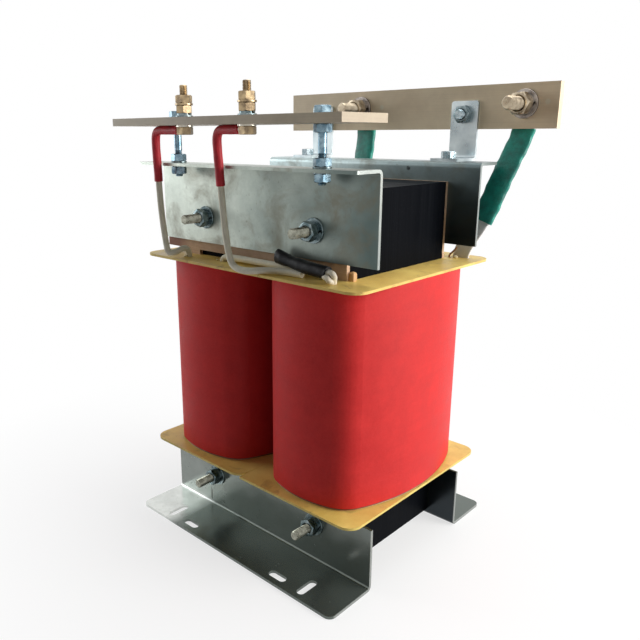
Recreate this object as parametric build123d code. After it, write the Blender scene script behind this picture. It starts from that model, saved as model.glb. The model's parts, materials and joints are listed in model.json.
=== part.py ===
from build123d import *
import math
import os

# Dry type transformer: a two-limb core with one round-cornered coil on each limb, pressed steel
# clamping angles, a horizontal terminal board at the front and an upright one at the rear.
# X runs along the clamping angles, the front faces -Y, Z is up, and the floor is at Z = 0.
# Sizes are in millimetres.

# Core: stacked strips, two limbs and two yokes
strip_width = 75.0
stack_depth = 158.0
limb_pitch = 154.0
window_height = 234.0
core_floor_gap = 7.0

# Clamping angles
clamp_length = 300.0
clamp_thickness = 3.0
clamp_bend_radius = 2.5
bottom_clamp_drop = 14.0
foot_width = 63.0
foot_corner_radius = 8.0
top_clamp_lift = 10.0
top_clamp_rise = 20.0
top_flange_width = 36.0
top_flange_corner_radius = 3.0

# Slots in the feet
slot_width = 9.0
inner_slot_length = 22.0
inner_slot_pitch = 140.0
inner_slot_inset = 11.5
outer_slot_length = 26.0
outer_slot_pitch = 207.0
outer_slot_inset = 19.0

# Pressboard between the top yoke and its clamps, and packing on the upper coil flanges
strip_thickness = 4.5
strip_right_inset = 0.5
packing_length = 20.0
peg_width = 7.0
peg_height = 9.0

# Clamp studs
stud_diameter = 10.0
stud_projection = 31.5
stud_nut_across_flats = 17.0
stud_nut_height = 8.0
stud_washer_diameter = 24.0
stud_washer_thickness = 2.0
spring_washer_diameter = 18.0
spring_washer_thickness = 2.5
stud_tube_wall = 1.2
hole_clearance = 0.5
thread_play = 0.1

# Coils: former, inner winding, barrier, outer winding and outer wrap
former_clearance = 0.5
former_wall = 2.0
former_corner_radius = 4.0
flange_thickness = 2.5
flange_half_length = 152.5
flange_half_depth = 117.0
flange_gap = 0.4
flange_corner_radius = 15.0
inner_half_width = 54.0
inner_half_depth = 91.0
inner_side_crown = 6.0
inner_end_crown = 3.0
inner_corner_radius = 10.0
barrier_thickness = 2.0
coil_half_width = 75.0
coil_half_depth = 108.0
coil_rearward_shift = 1.5
coil_side_crown = 24.0
coil_end_crown = 12.0
coil_corner_radius = 35.0
wrap_thickness = 1.5
wrap_foot_gap = 2.5

# Front terminal board
front_board_length = 310.0
front_board_depth = 59.0
front_board_thickness = 7.5
front_board_rise = 37.0
front_board_rear_margin = 16.5
front_bolt_pitch = 200.0
front_terminal_pitch = 88.0
front_terminal_shift = -4.5
front_terminal_margin = 12.0

# M8 hardware: board support bolts, bracket feet and front terminals
small_bolt_diameter = 8.0
small_across_flats = 14.0
small_head_height = 7.4
small_nut_height = 7.4
small_washer_diameter = 17.0
small_washer_thickness = 1.4
small_spring_thickness = 1.9
brass_washer_thickness = 2.0
front_stud_end = 9.0
support_bolt_end = 2.6
engaged_share = 0.9

# Rear terminal board and its brackets
rear_board_face = 134.0
rear_board_left = 155.0
rear_board_right = 202.0
rear_board_drop = 15.5
rear_board_height = 45.0
rear_board_thickness = 8.0
bracket_pitch = 202.0
bracket_width = 32.0
bracket_thickness = 3.0
bracket_foot_length = 41.0
bracket_leg_height = 62.5
bracket_bend_radius = 2.5
bracket_corner_radius = 3.0
bracket_bolt_drop = 14.0
board_bolt_head_height = 6.4
board_bolt_end = 5.0

# Rear terminals
rear_terminal_left = -41.0
rear_terminal_right = 167.0
rear_terminal_rise = 24.5
rear_stud_diameter = 14.0
rear_across_flats = 21.0
rear_nut_height = 11.0
rear_head_height = 8.8
rear_washer_diameter = 29.0
rear_washer_thickness = 2.5
rear_spring_thickness = 3.5
rear_stud_end = 22.0

# Leads
lead_diameter = 6.6
lead_sleeve_wall = 0.8
largest_bend_radius = 60.0
lug_thickness = 1.5
lug_ring_diameter = 16.0
lug_barrel_length = 12.0
splice_diameter = 11.0
splice_tip_diameter = 9.0
tail_diameter = 4.0
conductor_width = 20.0
conductor_thickness = 2.5
conductor_end_gap = 0.3
rear_lug_thickness = 3.0
rear_lug_clearance = 3.0
rear_sleeve_width = 25.0
rear_sleeve_thickness = 8.0
tap_wire_diameter = 2.0

# Levels and planes worked out from the sizes above
half_stack = stack_depth / 2
half_core = limb_pitch / 2 + strip_width / 2
limb_x = limb_pitch / 2
limb_bottom = core_floor_gap + strip_width
limb_top = limb_bottom + window_height
core_top = limb_top + strip_width
bottom_yoke_centre = core_floor_gap + strip_width / 2
top_yoke_centre = limb_top + strip_width / 2
bottom_face = half_stack + clamp_thickness
top_inner_face = half_stack + strip_thickness
top_face = top_inner_face + clamp_thickness
foot_edge = half_stack + foot_width
top_clamp_top = core_top + top_clamp_rise
top_clamp_bottom = limb_top + top_clamp_lift
top_clamp_height = top_clamp_top - top_clamp_bottom
bottom_clamp_height = limb_bottom - bottom_clamp_drop
flange_centre = (top_inner_face + top_flange_width + top_face) / 2
lower_flange_top = limb_bottom + flange_thickness
packing_height = 5.5
upper_flange_top = limb_top - packing_height
upper_flange_bottom = upper_flange_top - flange_thickness
winding_height = upper_flange_bottom - lower_flange_top
front_bolt_x = front_bolt_pitch / 2
front_board_rear = flange_centre - front_board_rear_margin
front_board_front = front_board_rear + front_board_depth
front_board_height = top_clamp_top + front_board_rise
front_board_top = front_board_height + front_board_thickness
front_terminal_y = -(front_board_front - front_terminal_margin)
bracket_back = rear_board_face
bracket_x = bracket_pitch / 2
bracket_foot_top = top_clamp_top + bracket_thickness
rear_board_back = bracket_back + rear_board_thickness
bracket_bolt_z = top_clamp_top + bracket_leg_height - bracket_bolt_drop
rear_board_bottom = bracket_bolt_z - rear_board_drop
rear_terminal_height = rear_board_bottom + rear_terminal_rise
conductor_y = rear_board_back + rear_lug_thickness + conductor_thickness / 2
conductor_top = rear_terminal_height - rear_across_flats / 2 - 1.5
conductor_end = upper_flange_bottom + conductor_end_gap
lead_exit_z = front_board_height - lead_diameter / 2 - lead_sleeve_wall - 0.2

SIDES = {"left": -1, "right": 1}


def write(name, solids):
    """Write one node: a single solid, or a list of separate solids as one group."""
    shape = Compound(children=list(solids)) if isinstance(solids, list) else solids
    export_step(shape, os.path.join("parts", name + ".step"))


def block(x_range, y_range, z_range):
    """Box between the given limits."""
    size = [high - low for low, high in (x_range, y_range, z_range)]
    middle = [(high + low) / 2 for low, high in (x_range, y_range, z_range)]
    return Pos(*middle) * Box(*size)


def hexagon(across_flats, height, hole):
    """Hexagon nut, or head where the hole is zero, from Z = 0 up, with its corners turned off."""
    flats = RegularPolygon(across_flats / 2, 6, major_radius=False)
    prism = extrude(flats, height)
    corner = across_flats / math.sqrt(3)
    turned = chamfer(Cylinder(corner, height, align=(Align.CENTER, Align.CENTER, Align.MIN))
                     .edges().group_by(Axis.Z)[-1], length=0.12 * corner, length2=0.2 * corner)
    body = prism & turned
    if hole:
        body -= Cylinder(hole / 2, height, align=(Align.CENTER, Align.CENTER, Align.MIN))
    return body


def ring(outer, inner, height):
    """Flat washer or tube from Z = 0 up."""
    return extrude(Circle(outer / 2) - Circle(inner / 2), height)


def spring_ring(outer, inner, height):
    """Split spring washer: a ring with a slanting cut."""
    cut = Pos(outer / 2, 0, height / 2) * Rot(25, 0, 0) * Box(outer, 0.12 * outer, 3 * height)
    return ring(outer, inner, height) - cut


def rod(diameter, length, end_chamfer=0.8):
    """Plain shank from Z = 0 up with a chamfered far end."""
    shank = Cylinder(diameter / 2, length, align=(Align.CENTER, Align.CENTER, Align.MIN))
    return chamfer(shank.edges().group_by(Axis.Z)[-1], end_chamfer)


def terminal_stud(diameter, grip, free, end_chamfer):
    """Shank of a terminal bolt from Z = 0 up: its engaged length, then the free end that takes a lug."""
    step = 2 * thread_play
    engaged = engaged_share * diameter / 2
    body = Cylinder(engaged, grip + step, align=(Align.CENTER, Align.CENTER, Align.MIN))
    return body + Pos(0, 0, grip + step) * rod(diameter, free - step, end_chamfer)


def engaged_bore(diameter):
    """Bore of a nut that sits on the engaged length of a terminal bolt."""
    return engaged_share * diameter + 2 * thread_play


def facing_front(x, y, z):
    """Location whose Z points to the front, for pieces stacked on a face from that point."""
    return Pos(x, y, z) * Rot(90, 0, 0)


def facing_rear(x, y, z):
    """Location whose Z points to the rear."""
    return Pos(x, y, z) * Rot(-90, 0, 0)


# --- core ------------------------------------------------------------------------------------

def yoke_stack(bottom):
    """Yoke across both limbs, with a hole on each limb's line for a clamp stud."""
    body = block((-half_core, half_core), (-half_stack, half_stack), (bottom, bottom + strip_width))
    bore = stud_diameter / 2 + thread_play + stud_tube_wall + hole_clearance / 2
    for side in SIDES.values():
        body -= Pos(side * limb_x, 0, bottom + strip_width / 2) * Rot(90, 0, 0) * Cylinder(bore, stack_depth)
    return body


def limb_stack(side):
    """Limb between the yokes."""
    centre = side * limb_x
    half = strip_width / 2
    return block((centre - half, centre + half), (-half_stack, half_stack), (limb_bottom, limb_top))


def make_core():
    write("bottom_yoke_stack", yoke_stack(core_floor_gap))
    write("top_yoke_stack", yoke_stack(limb_top))
    for name, side in SIDES.items():
        write(name + "_limb_stack", limb_stack(side))


# --- clamping angles -------------------------------------------------------------------------

def angle_section(inner_face, height, flange, flange_at_top, bottom):
    """Bent sheet, upright against the core at the rear, flange turned outwards (+Y)."""
    level = bottom + height if flange_at_top else bottom
    step = -clamp_thickness if flange_at_top else clamp_thickness
    far = bottom if flange_at_top else bottom + height
    outline = Polyline(
        (0, inner_face, far),
        (0, inner_face, level),
        (0, inner_face + flange, level),
        (0, inner_face + flange, level + step),
        (0, inner_face + clamp_thickness, level + step),
        (0, inner_face + clamp_thickness, far),
        close=True,
    )
    body = extrude(make_face(outline), clamp_length / 2, dir=(1, 0, 0), both=True)
    along = body.edges().filter_by(Axis.X)
    outer = along.sort_by_distance((0, inner_face, level))[0]
    inner = along.sort_by_distance((0, inner_face + clamp_thickness, level + step))[0]
    body = fillet(inner, clamp_bend_radius)
    outer = body.edges().filter_by(Axis.X).sort_by_distance((0, inner_face, level))[0]
    return fillet(outer, clamp_bend_radius + clamp_thickness)


def round_flange_corners(body, edge, radius):
    """Round the two free corners of a flange whose outer edge is at the given Y."""
    corners = [e for e in body.edges().filter_by(Axis.Z) if abs(e.center().Y - edge) < 0.01]
    return fillet(corners, radius)


def stud_holes(inner_face, height):
    """Clearance holes for the two studs that cross an upright of a clamp."""
    radius = stud_diameter / 2 + hole_clearance
    depth = 4 * clamp_thickness
    return [
        Pos(side * limb_x, inner_face + clamp_thickness / 2, height) * Rot(90, 0, 0) * Cylinder(radius, depth)
        for side in SIDES.values()
    ]


def foot_slots():
    """Fixing slots of a foot: an inner pair along the foot and an outer pair across it."""
    cutters = []
    depth = 4 * clamp_thickness
    for side in SIDES.values():
        inner = Pos(side * inner_slot_pitch / 2, foot_edge - inner_slot_inset, -clamp_thickness)
        outer = Pos(side * outer_slot_pitch / 2, foot_edge - outer_slot_inset, -clamp_thickness)
        cutters.append(inner * extrude(SlotOverall(inner_slot_length, slot_width), depth))
        cutters.append(outer * extrude(SlotOverall(outer_slot_length, slot_width, rotation=90), depth))
    return cutters


def flange_bolt_holes(pitch):
    """Clearance holes for M8 bolts on the middle line of a top flange."""
    radius = small_bolt_diameter / 2 + hole_clearance
    return [
        Pos(side * pitch / 2, flange_centre, top_clamp_top) * Cylinder(radius, 4 * clamp_thickness)
        for side in SIDES.values()
    ]


def bottom_clamp():
    body = angle_section(half_stack, bottom_clamp_height, foot_width, False, 0)
    body = round_flange_corners(body, foot_edge, foot_corner_radius)
    return body - stud_holes(half_stack, bottom_yoke_centre) - foot_slots()


def top_clamp(bolt_pitch):
    body = angle_section(top_inner_face, top_clamp_height, top_flange_width, True, top_clamp_bottom)
    body = round_flange_corners(body, top_inner_face + top_flange_width, top_flange_corner_radius)
    return body - stud_holes(top_inner_face, top_yoke_centre) - flange_bolt_holes(bolt_pitch)


def make_clamps():
    write("bottom_rear_clamp", bottom_clamp())
    write("bottom_front_clamp", mirror(bottom_clamp(), Plane.XZ))
    write("top_rear_clamp", top_clamp(bracket_pitch))
    write("top_front_clamp", mirror(top_clamp(front_bolt_pitch), Plane.XZ))


def insulation_strip(direction):
    """Pressboard between the top yoke and one of its clamps, with holes for the stud tubes."""
    faces = sorted((direction * half_stack, direction * top_inner_face))
    ends = (-clamp_length / 2, half_core - strip_right_inset)
    body = block(ends, faces, (limb_top, core_top))
    bore = stud_diameter / 2 + thread_play + stud_tube_wall + hole_clearance / 2
    for side in SIDES.values():
        middle = (side * limb_x, direction * (half_stack + strip_thickness / 2), top_yoke_centre)
        body -= Pos(*middle) * Rot(90, 0, 0) * Cylinder(bore, 4 * strip_thickness)
    return body


def packing():
    """Packing blocks that hold the upper coil flanges down from the top yoke."""
    blocks = []
    for side in SIDES.values():
        ends = sorted((side * half_core, side * (half_core - packing_length)))
        for direction in (-1, 1):
            depth = sorted((direction * (half_stack + former_clearance), direction * top_inner_face))
            blocks.append(block(ends, depth, (upper_flange_top, limb_top)))
    return blocks


def packing_peg():
    """Small rounded peg that stands on the flange beyond the right front packing block."""
    low = half_core + 0.3
    body = block((low, low + peg_width), (-half_stack - 3, -half_stack + 5),
                 (upper_flange_top, upper_flange_top + peg_height))
    return fillet(body.edges().filter_by(Axis.Y).group_by(Axis.Z)[-1], peg_width / 3)


def make_insulation():
    write("top_front_pressboard", insulation_strip(-1))
    write("top_rear_pressboard", insulation_strip(1))
    write("coil_packing_blocks", packing())
    write("packing_peg", packing_peg())


# --- clamp studs -----------------------------------------------------------------------------

def through_stud(x, z, face):
    """Stud through a yoke and both clamps, ending the same way past each clamp."""
    reach = face + stud_projection
    body = Cylinder(stud_diameter / 2, 2 * reach)
    body = chamfer(body.edges().filter_by(GeomType.CIRCLE), 1.0)
    return Pos(x, 0, z) * Rot(90, 0, 0) * body


def rear_bracket_nuts():
    """Nuts of the same size as the studs', on the bolts that hold the rear board."""
    nut = hexagon(stud_nut_across_flats, stud_nut_height, stud_diameter + 2 * thread_play)
    leg_face = bracket_back - bracket_thickness
    return [facing_front(side * bracket_x, leg_face, bracket_bolt_z) * nut for side in SIDES.values()]


def make_studs():
    studs = []
    tubes = []
    washers = []
    springs = []
    nuts = rear_bracket_nuts()
    bore = stud_diameter + 2 * thread_play
    for z, face in ((bottom_yoke_centre, bottom_face), (top_yoke_centre, top_face)):
        studs += [through_stud(side * limb_x, z, face) for side in SIDES.values()]
        inner = face - clamp_thickness
        for side in SIDES.values():
            x = side * limb_x
            tube = ring(bore + 2 * stud_tube_wall, bore, 2 * inner)
            tubes.append(facing_front(x, inner, z) * tube)
            for place in (facing_front(x, -face, z), facing_rear(x, face, z)):
                washer = ring(stud_washer_diameter, bore + 2 * hole_clearance, stud_washer_thickness)
                spring = spring_ring(spring_washer_diameter, bore, spring_washer_thickness)
                nut = hexagon(stud_nut_across_flats, stud_nut_height, bore)
                nut_seat = stud_washer_thickness + spring_washer_thickness
                washers.append(place * washer)
                springs.append(place * Pos(0, 0, stud_washer_thickness) * spring)
                nuts.append(place * Pos(0, 0, nut_seat) * nut)
    write("clamp_studs", studs)
    write("stud_insulating_tubes", tubes)
    write("stud_flat_washers", washers)
    write("stud_spring_washers", springs)
    write("stud_and_bracket_nuts", nuts)


# --- coils -----------------------------------------------------------------------------------

def crowned_outline(half_width, half_depth, side_crown, end_crown, radius):
    """Rounded rectangle whose sides bow outwards to the half width and half depth."""
    x = half_width - side_crown
    y = half_depth - end_crown
    sides = [
        ThreePointArc((x, -y), (half_width, 0), (x, y)),
        ThreePointArc((x, y), (0, half_depth), (-x, y)),
        ThreePointArc((-x, y), (-half_width, 0), (-x, -y)),
        ThreePointArc((-x, -y), (0, -half_depth), (x, -y)),
    ]
    face = make_face(sides)
    return fillet(face.vertices(), radius)


def former_outline(wall):
    """Outline of the former round the limb, grown by a wall."""
    grow = 2 * (former_clearance + wall)
    return RectangleRounded(strip_width + grow, stack_depth + grow, former_corner_radius)


def coil_layers():
    """Each layer of a coil as name, outer outline, inner outline, start and end height."""
    former_in = Rectangle(strip_width + 2 * former_clearance, stack_depth + 2 * former_clearance)
    former_out = former_outline(former_wall)
    inner_out = crowned_outline(inner_half_width, inner_half_depth, inner_side_crown,
                                inner_end_crown, inner_corner_radius)
    barrier_out = crowned_outline(inner_half_width + barrier_thickness, inner_half_depth + barrier_thickness,
                                  inner_side_crown, inner_end_crown, inner_corner_radius + barrier_thickness)
    wrap_out = crowned_outline(coil_half_width, coil_half_depth, coil_side_crown,
                               coil_end_crown, coil_corner_radius)
    outer_out = crowned_outline(coil_half_width - wrap_thickness, coil_half_depth - wrap_thickness,
                                coil_side_crown, coil_end_crown, coil_corner_radius - wrap_thickness)
    low = lower_flange_top
    high = upper_flange_bottom
    shift = Pos(0, coil_rearward_shift)
    wrap_out = shift * wrap_out
    outer_out = shift * outer_out
    return [
        ("coil_former", former_out, former_in, low, high),
        ("inner_winding", inner_out, former_out, low, high),
        ("winding_barrier", barrier_out, inner_out, low, high),
        ("outer_winding", outer_out, barrier_out, low, high),
        ("coil_wrap", wrap_out, outer_out, low + wrap_foot_gap, high),
    ]


def make_coils():
    for layer, outer, inner, low, high in coil_layers():
        body = extrude(outer, high - low) - extrude(inner, high - low)
        pair = {name: Pos(side * limb_x, 0, low) * body for name, side in SIDES.items()}
        if layer in ("coil_former", "winding_barrier"):
            write(layer + "s", list(pair.values()))
        else:
            for name, placed in pair.items():
                write(name + "_" + layer, placed)


# Points where leads pass through the upper flanges
left_lead_hole = (-93.0, -99.5)
jumper_hole = (-46.0, -92.0)
tail_hole = (112.0, -99.5)
tap_wire_hole = (116.0, 91.5)
right_conductor_slot = (126.0, 98.5)
left_conductor_slot = (-45.0, 90.0)


def flange_plate(side, bottom, rounded_inner_corner):
    """Coil flange: a plate round one limb, rounded outside and square where the two meet."""
    near = side * flange_gap / 2
    far = side * flange_half_length
    body = block(sorted((near, far)), (-flange_half_depth, flange_half_depth),
                 (bottom, bottom + flange_thickness))
    rounded = []
    for edge in body.edges().filter_by(Axis.Z):
        middle = edge.center()
        if abs(middle.X - far) < 0.01 or (rounded_inner_corner and middle.Y < 0):
            rounded.append(edge)
    body = fillet(rounded, flange_corner_radius)
    half_x = strip_width / 2 + former_clearance
    half_y = half_stack + former_clearance
    centre = side * limb_x
    return body - block((centre - half_x, centre + half_x), (-half_y, half_y),
                        (bottom - 1, bottom + flange_thickness + 1))


def lead_hole(place, diameter):
    """Round hole through an upper flange."""
    radius = diameter / 2 + hole_clearance
    return Pos(place[0], place[1], upper_flange_bottom) * Cylinder(radius, 4 * flange_thickness)


def conductor_hole(place):
    """Slot through an upper flange for a flat conductor."""
    width = conductor_width + 2 * hole_clearance
    depth = conductor_thickness + 2 * hole_clearance
    return Pos(place[0], place[1], upper_flange_bottom) * Box(width, depth, 4 * flange_thickness)


def make_coil_flanges():
    for name, side in SIDES.items():
        write(name + "_lower_coil_flange", flange_plate(side, limb_bottom, side < 0))
    left = flange_plate(-1, upper_flange_bottom, False)
    left -= lead_hole(left_lead_hole, lead_diameter)
    left -= lead_hole(jumper_hole, lead_diameter)
    left -= conductor_hole(left_conductor_slot)
    right = flange_plate(1, upper_flange_bottom, False)
    right -= lead_hole(tail_hole, tail_diameter)
    right -= lead_hole(tap_wire_hole, tap_wire_diameter)
    right -= conductor_hole(right_conductor_slot)
    write("left_upper_coil_flange", left)
    write("right_upper_coil_flange", right)


# --- leads -----------------------------------------------------------------------------------

def bend_radii(points):
    """Radius of each bend of a route: as large as its two runs allow."""
    radii = []
    for before, corner, after in zip(points, points[1:], points[2:]):
        first = Vector(corner) - Vector(before)
        second = Vector(after) - Vector(corner)
        turn = math.radians(first.get_angle(second))
        room = 0.45 * min(first.length, second.length) / math.tan(turn / 2)
        radii.append(min(room, largest_bend_radius))
    return radii


def tube_along(points, radii, outer, inner=0.0):
    """Round lead or sleeve along straight runs joined by tangent arcs."""
    path = FilletPolyline(*points, radius=radii)
    start = Plane(origin=path @ 0, z_dir=path % 0)
    section = Circle(outer / 2)
    if inner:
        section -= Circle(inner / 2)
    return sweep(start * section, path=path)


def report_route(name, points):
    """Print the radii of a route's bends and its length."""
    radii = bend_radii(points)
    path = FilletPolyline(*points, radius=radii)
    print(name, "radii", [round(radius, 1) for radius in radii], "length", round(path.length, 1))


def half_way(first, second):
    """Middle of the run between two points."""
    return tuple((a + b) / 2 for a, b in zip(first, second))


def front_terminal_x(side):
    return front_terminal_shift + side * front_terminal_pitch / 2


def lug(x, towards):
    """Ring terminal under the board, its barrel pointing along its lead."""
    heading = math.degrees(math.atan2(towards[1] - front_terminal_y, towards[0] - x))
    plate_bottom = front_board_height - lug_thickness
    ring_part = Circle(lug_ring_diameter / 2)
    neck = Pos(lug_ring_diameter / 3, 0) * Rectangle(lug_ring_diameter / 1.5, lead_diameter)
    plate = extrude(ring_part + neck - Circle(small_bolt_diameter / 2 + thread_play), lug_thickness)
    barrel = Pos(lug_ring_diameter / 2 + 0.5, 0, lead_exit_z - plate_bottom) * Rot(0, 90, 0) * Cylinder(
        lead_diameter / 2, lug_barrel_length, align=(Align.CENTER, Align.CENTER, Align.MIN))
    return Pos(x, front_terminal_y, plate_bottom) * Rot(0, 0, heading) * (plate + barrel)


def barrel_point(x, towards, distance):
    """Point on the axis of a lug's barrel, a distance from the terminal."""
    heading = math.atan2(towards[1] - front_terminal_y, towards[0] - x)
    return (x + distance * math.cos(heading), front_terminal_y + distance * math.sin(heading), lead_exit_z)


front_lead_bends = {
    "left": [
        (-105.0, -127.0, lead_exit_z),
        (-107.0, -125.5, upper_flange_top + 109.5),
        (-108.5, -123.0, upper_flange_top + 51.5),
        (-107.0, -118.5, upper_flange_top + 4.1),
        (-99.5, -112.0, upper_flange_top + 7.0),
        (-95.0, -104.5, upper_flange_top + 11.0),
        (-93.0, -99.5, upper_flange_top + 6.0),
        (-93.0, -99.5, upper_flange_bottom),
    ],
    "right": [
        (-11.0, -127.0, lead_exit_z),
        (-9.5, -125.5, upper_flange_top + 109.5),
        (-7.5, -123.0, upper_flange_top + 51.5),
        (-1.0, -122.0, upper_flange_top + 9.5),
        (20.0, -121.5, upper_flange_top + 2.5),
        (37.0, -113.0, upper_flange_top + 4.3),
        (52.0, -103.0, upper_flange_top + 4.1),
        (76.0, -101.5, upper_flange_top + 3.5),
    ],
}
jumper_route = [
    (-46.0, -92.0, upper_flange_bottom),
    (-46.0, -92.0, upper_flange_top + 2.0),
    (-39.0, -91.5, upper_flange_top + 5.5),
    (80.0, -92.5, upper_flange_top + 5.5),
]
splice_ends = [
    (37.5, -97.5, upper_flange_top + 16.0),
    (66.0, -99.0, upper_flange_top + 12.0),
    (105.0, -101.0, upper_flange_top + 9.5),
]
tail_route = [
    (105.2, -101.0, upper_flange_top + 9.5),
    (113.0, -101.0, upper_flange_top + 9.0),
    (112.0, -99.5, upper_flange_top + 3.0),
    (112.0, -99.5, upper_flange_bottom),
]


def make_front_leads():
    barrel_end = lug_ring_diameter / 2 + 0.5 + lug_barrel_length
    lugs = []
    for name, side in SIDES.items():
        x = front_terminal_x(side)
        bends = front_lead_bends[name]
        lugs.append(lug(x, bends[0]))
        route = [barrel_point(x, bends[0], barrel_end)] + bends
        radii = bend_radii(route)
        report_route("front_" + name + "_lead", route)
        write("front_" + name + "_lead", tube_along(route, radii, lead_diameter))
        sleeve_start = barrel_point(x, bends[0], lug_ring_diameter / 2 + 3.0)
        sleeve_end = half_way(bends[1], bends[2])
        sleeve_route = [sleeve_start, bends[0], bends[1], sleeve_end]
        outer = lead_diameter + 2 * thread_play + 2 * lead_sleeve_wall
        sleeve = tube_along(sleeve_route, radii[:2], outer, lead_diameter + 2 * thread_play)
        write("front_" + name + "_lead_sleeve", sleeve)
    write("front_terminal_lugs", lugs)


def splice_sleeve():
    """Heat-shrink sleeve over the splice, fatter at its folded end."""
    first, middle, last = (Vector(point) for point in splice_ends)
    heading = middle - first
    fat = Plane(origin=first, z_dir=heading)
    waist = Plane(origin=middle, z_dir=last - first)
    tip = Plane(origin=last, z_dir=last - middle)
    sections = [
        fat * Ellipse(splice_diameter / 2, splice_diameter / 2.4),
        waist * Circle(splice_tip_diameter / 2),
        tip * Circle(splice_tip_diameter / 2.2),
    ]
    return loft(sections)


def make_splice():
    report_route("jumper_lead", jumper_route)
    write("jumper_lead", tube_along(jumper_route, bend_radii(jumper_route), lead_diameter))
    write("splice_sleeve", splice_sleeve())
    report_route("winding_tail", tail_route)
    write("winding_tail", tube_along(tail_route, bend_radii(tail_route), tail_diameter))


# --- rear conductors -------------------------------------------------------------------------

def conductor_point(x, y, share):
    """Point of a rear conductor, its height a share of the way from the upper flange to the board."""
    return (x, y, upper_flange_top + share * (rear_board_bottom - upper_flange_top))


# For each rear conductor, the bends under its sleeve and then the bare ones
rear_conductor_routes = {
    "left": (
        [
            (rear_terminal_left, conductor_y, conductor_top),
            conductor_point(rear_terminal_left, conductor_y, 0.93),
            conductor_point(rear_terminal_left, conductor_y - 10.0, 0.61),
            conductor_point(rear_terminal_left - 1.0, conductor_y - 30.0, 0.26),
        ],
        [
            (*left_conductor_slot, upper_flange_top + 9.5),
            (*left_conductor_slot, conductor_end),
        ],
    ),
    "right": (
        [
            (rear_terminal_right - 2.0, conductor_y, conductor_top),
            conductor_point(rear_terminal_right - 4.5, conductor_y, 0.96),
            conductor_point(rear_terminal_right - 9.5, conductor_y - 13.0, 0.765),
            conductor_point(rear_terminal_right - 15.5, conductor_y - 24.0, 0.535),
        ],
        [
            conductor_point(rear_terminal_right - 22.0, conductor_y - 35.0, 0.295),
            (*right_conductor_slot, upper_flange_top + 8.5),
            (*right_conductor_slot, conductor_end),
        ],
    ),
}
tap_wire_route = [
    (*tap_wire_hole, conductor_end),
    (*tap_wire_hole, upper_flange_top + 2.5),
    (tap_wire_hole[0] + 8.5, tap_wire_hole[1], upper_flange_top + 11.0),
]


def flat_along(points, radii, section):
    """Flat section swept along a route, its width across the object."""
    path = FilletPolyline(*points, radius=radii)
    start = Plane(origin=path @ 0, x_dir=(1, 0, 0), z_dir=path % 0)
    return sweep(start * section, path=path)


def rear_conductor(route):
    return flat_along(route, bend_radii(route), Rectangle(conductor_width, conductor_thickness))


def rear_sleeve(sleeved, bare):
    """Flattened sleeve over the upper bends of a conductor, from half-way down its first run."""
    covered = [half_way(*sleeved[:2])] + sleeved[1:] + [half_way(sleeved[-1], bare[0])]
    radii = bend_radii(sleeved + bare)[:len(sleeved) - 1]
    outline = RectangleRounded(rear_sleeve_width, rear_sleeve_thickness, rear_sleeve_thickness / 2.2)
    hollow = Rectangle(conductor_width + 2 * thread_play, conductor_thickness + 2 * thread_play)
    return flat_along(covered, radii, outline - hollow)


def rear_lug(x, z_end, x_end):
    """Flat palm behind the rear board, from the terminal down to its conductor."""
    bore = rear_stud_diameter / 2 + thread_play
    palm = Pos(x, rear_terminal_height) * Circle(conductor_width / 1.6)
    tail = make_face(Polyline(
        (x - conductor_width / 2, rear_terminal_height),
        (x_end - conductor_width / 2, z_end),
        (x_end + conductor_width / 2, z_end),
        (x + conductor_width / 2, rear_terminal_height),
        close=True,
    ))
    outline = palm + tail - Pos(x, rear_terminal_height) * Circle(bore)
    return Pos(0, rear_board_back, 0) * Rot(90, 0, 0) * extrude(outline, -rear_lug_thickness)


def make_rear_conductors():
    terminals = {"left": rear_terminal_left, "right": rear_terminal_right}
    lugs = []
    for name, (sleeved, bare) in rear_conductor_routes.items():
        route = sleeved + bare
        report_route(name + "_rear_conductor", route)
        write(name + "_rear_conductor", rear_conductor(route))
        write(name + "_rear_sleeve", rear_sleeve(sleeved, bare))
        lug_end = half_way(route[0], route[1])[2] + rear_lug_clearance
        lugs.append(rear_lug(terminals[name], lug_end, route[0][0]))
    write("rear_terminal_lugs", lugs)
    write("tap_wire_end", tube_along(tap_wire_route, bend_radii(tap_wire_route), tap_wire_diameter))


# --- front terminal board --------------------------------------------------------------------

def front_board():
    half = front_board_length / 2
    body = block((-half, half), (-front_board_front, -front_board_rear), (front_board_height, front_board_top))
    radius = small_bolt_diameter / 2 + thread_play
    places = [(side * front_bolt_x, -flange_centre) for side in SIDES.values()]
    places += [(front_terminal_x(side), front_terminal_y) for side in SIDES.values()]
    for x, y in places:
        body -= Pos(x, y, front_board_height) * Cylinder(radius, 4 * front_board_thickness)
    return body


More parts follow.
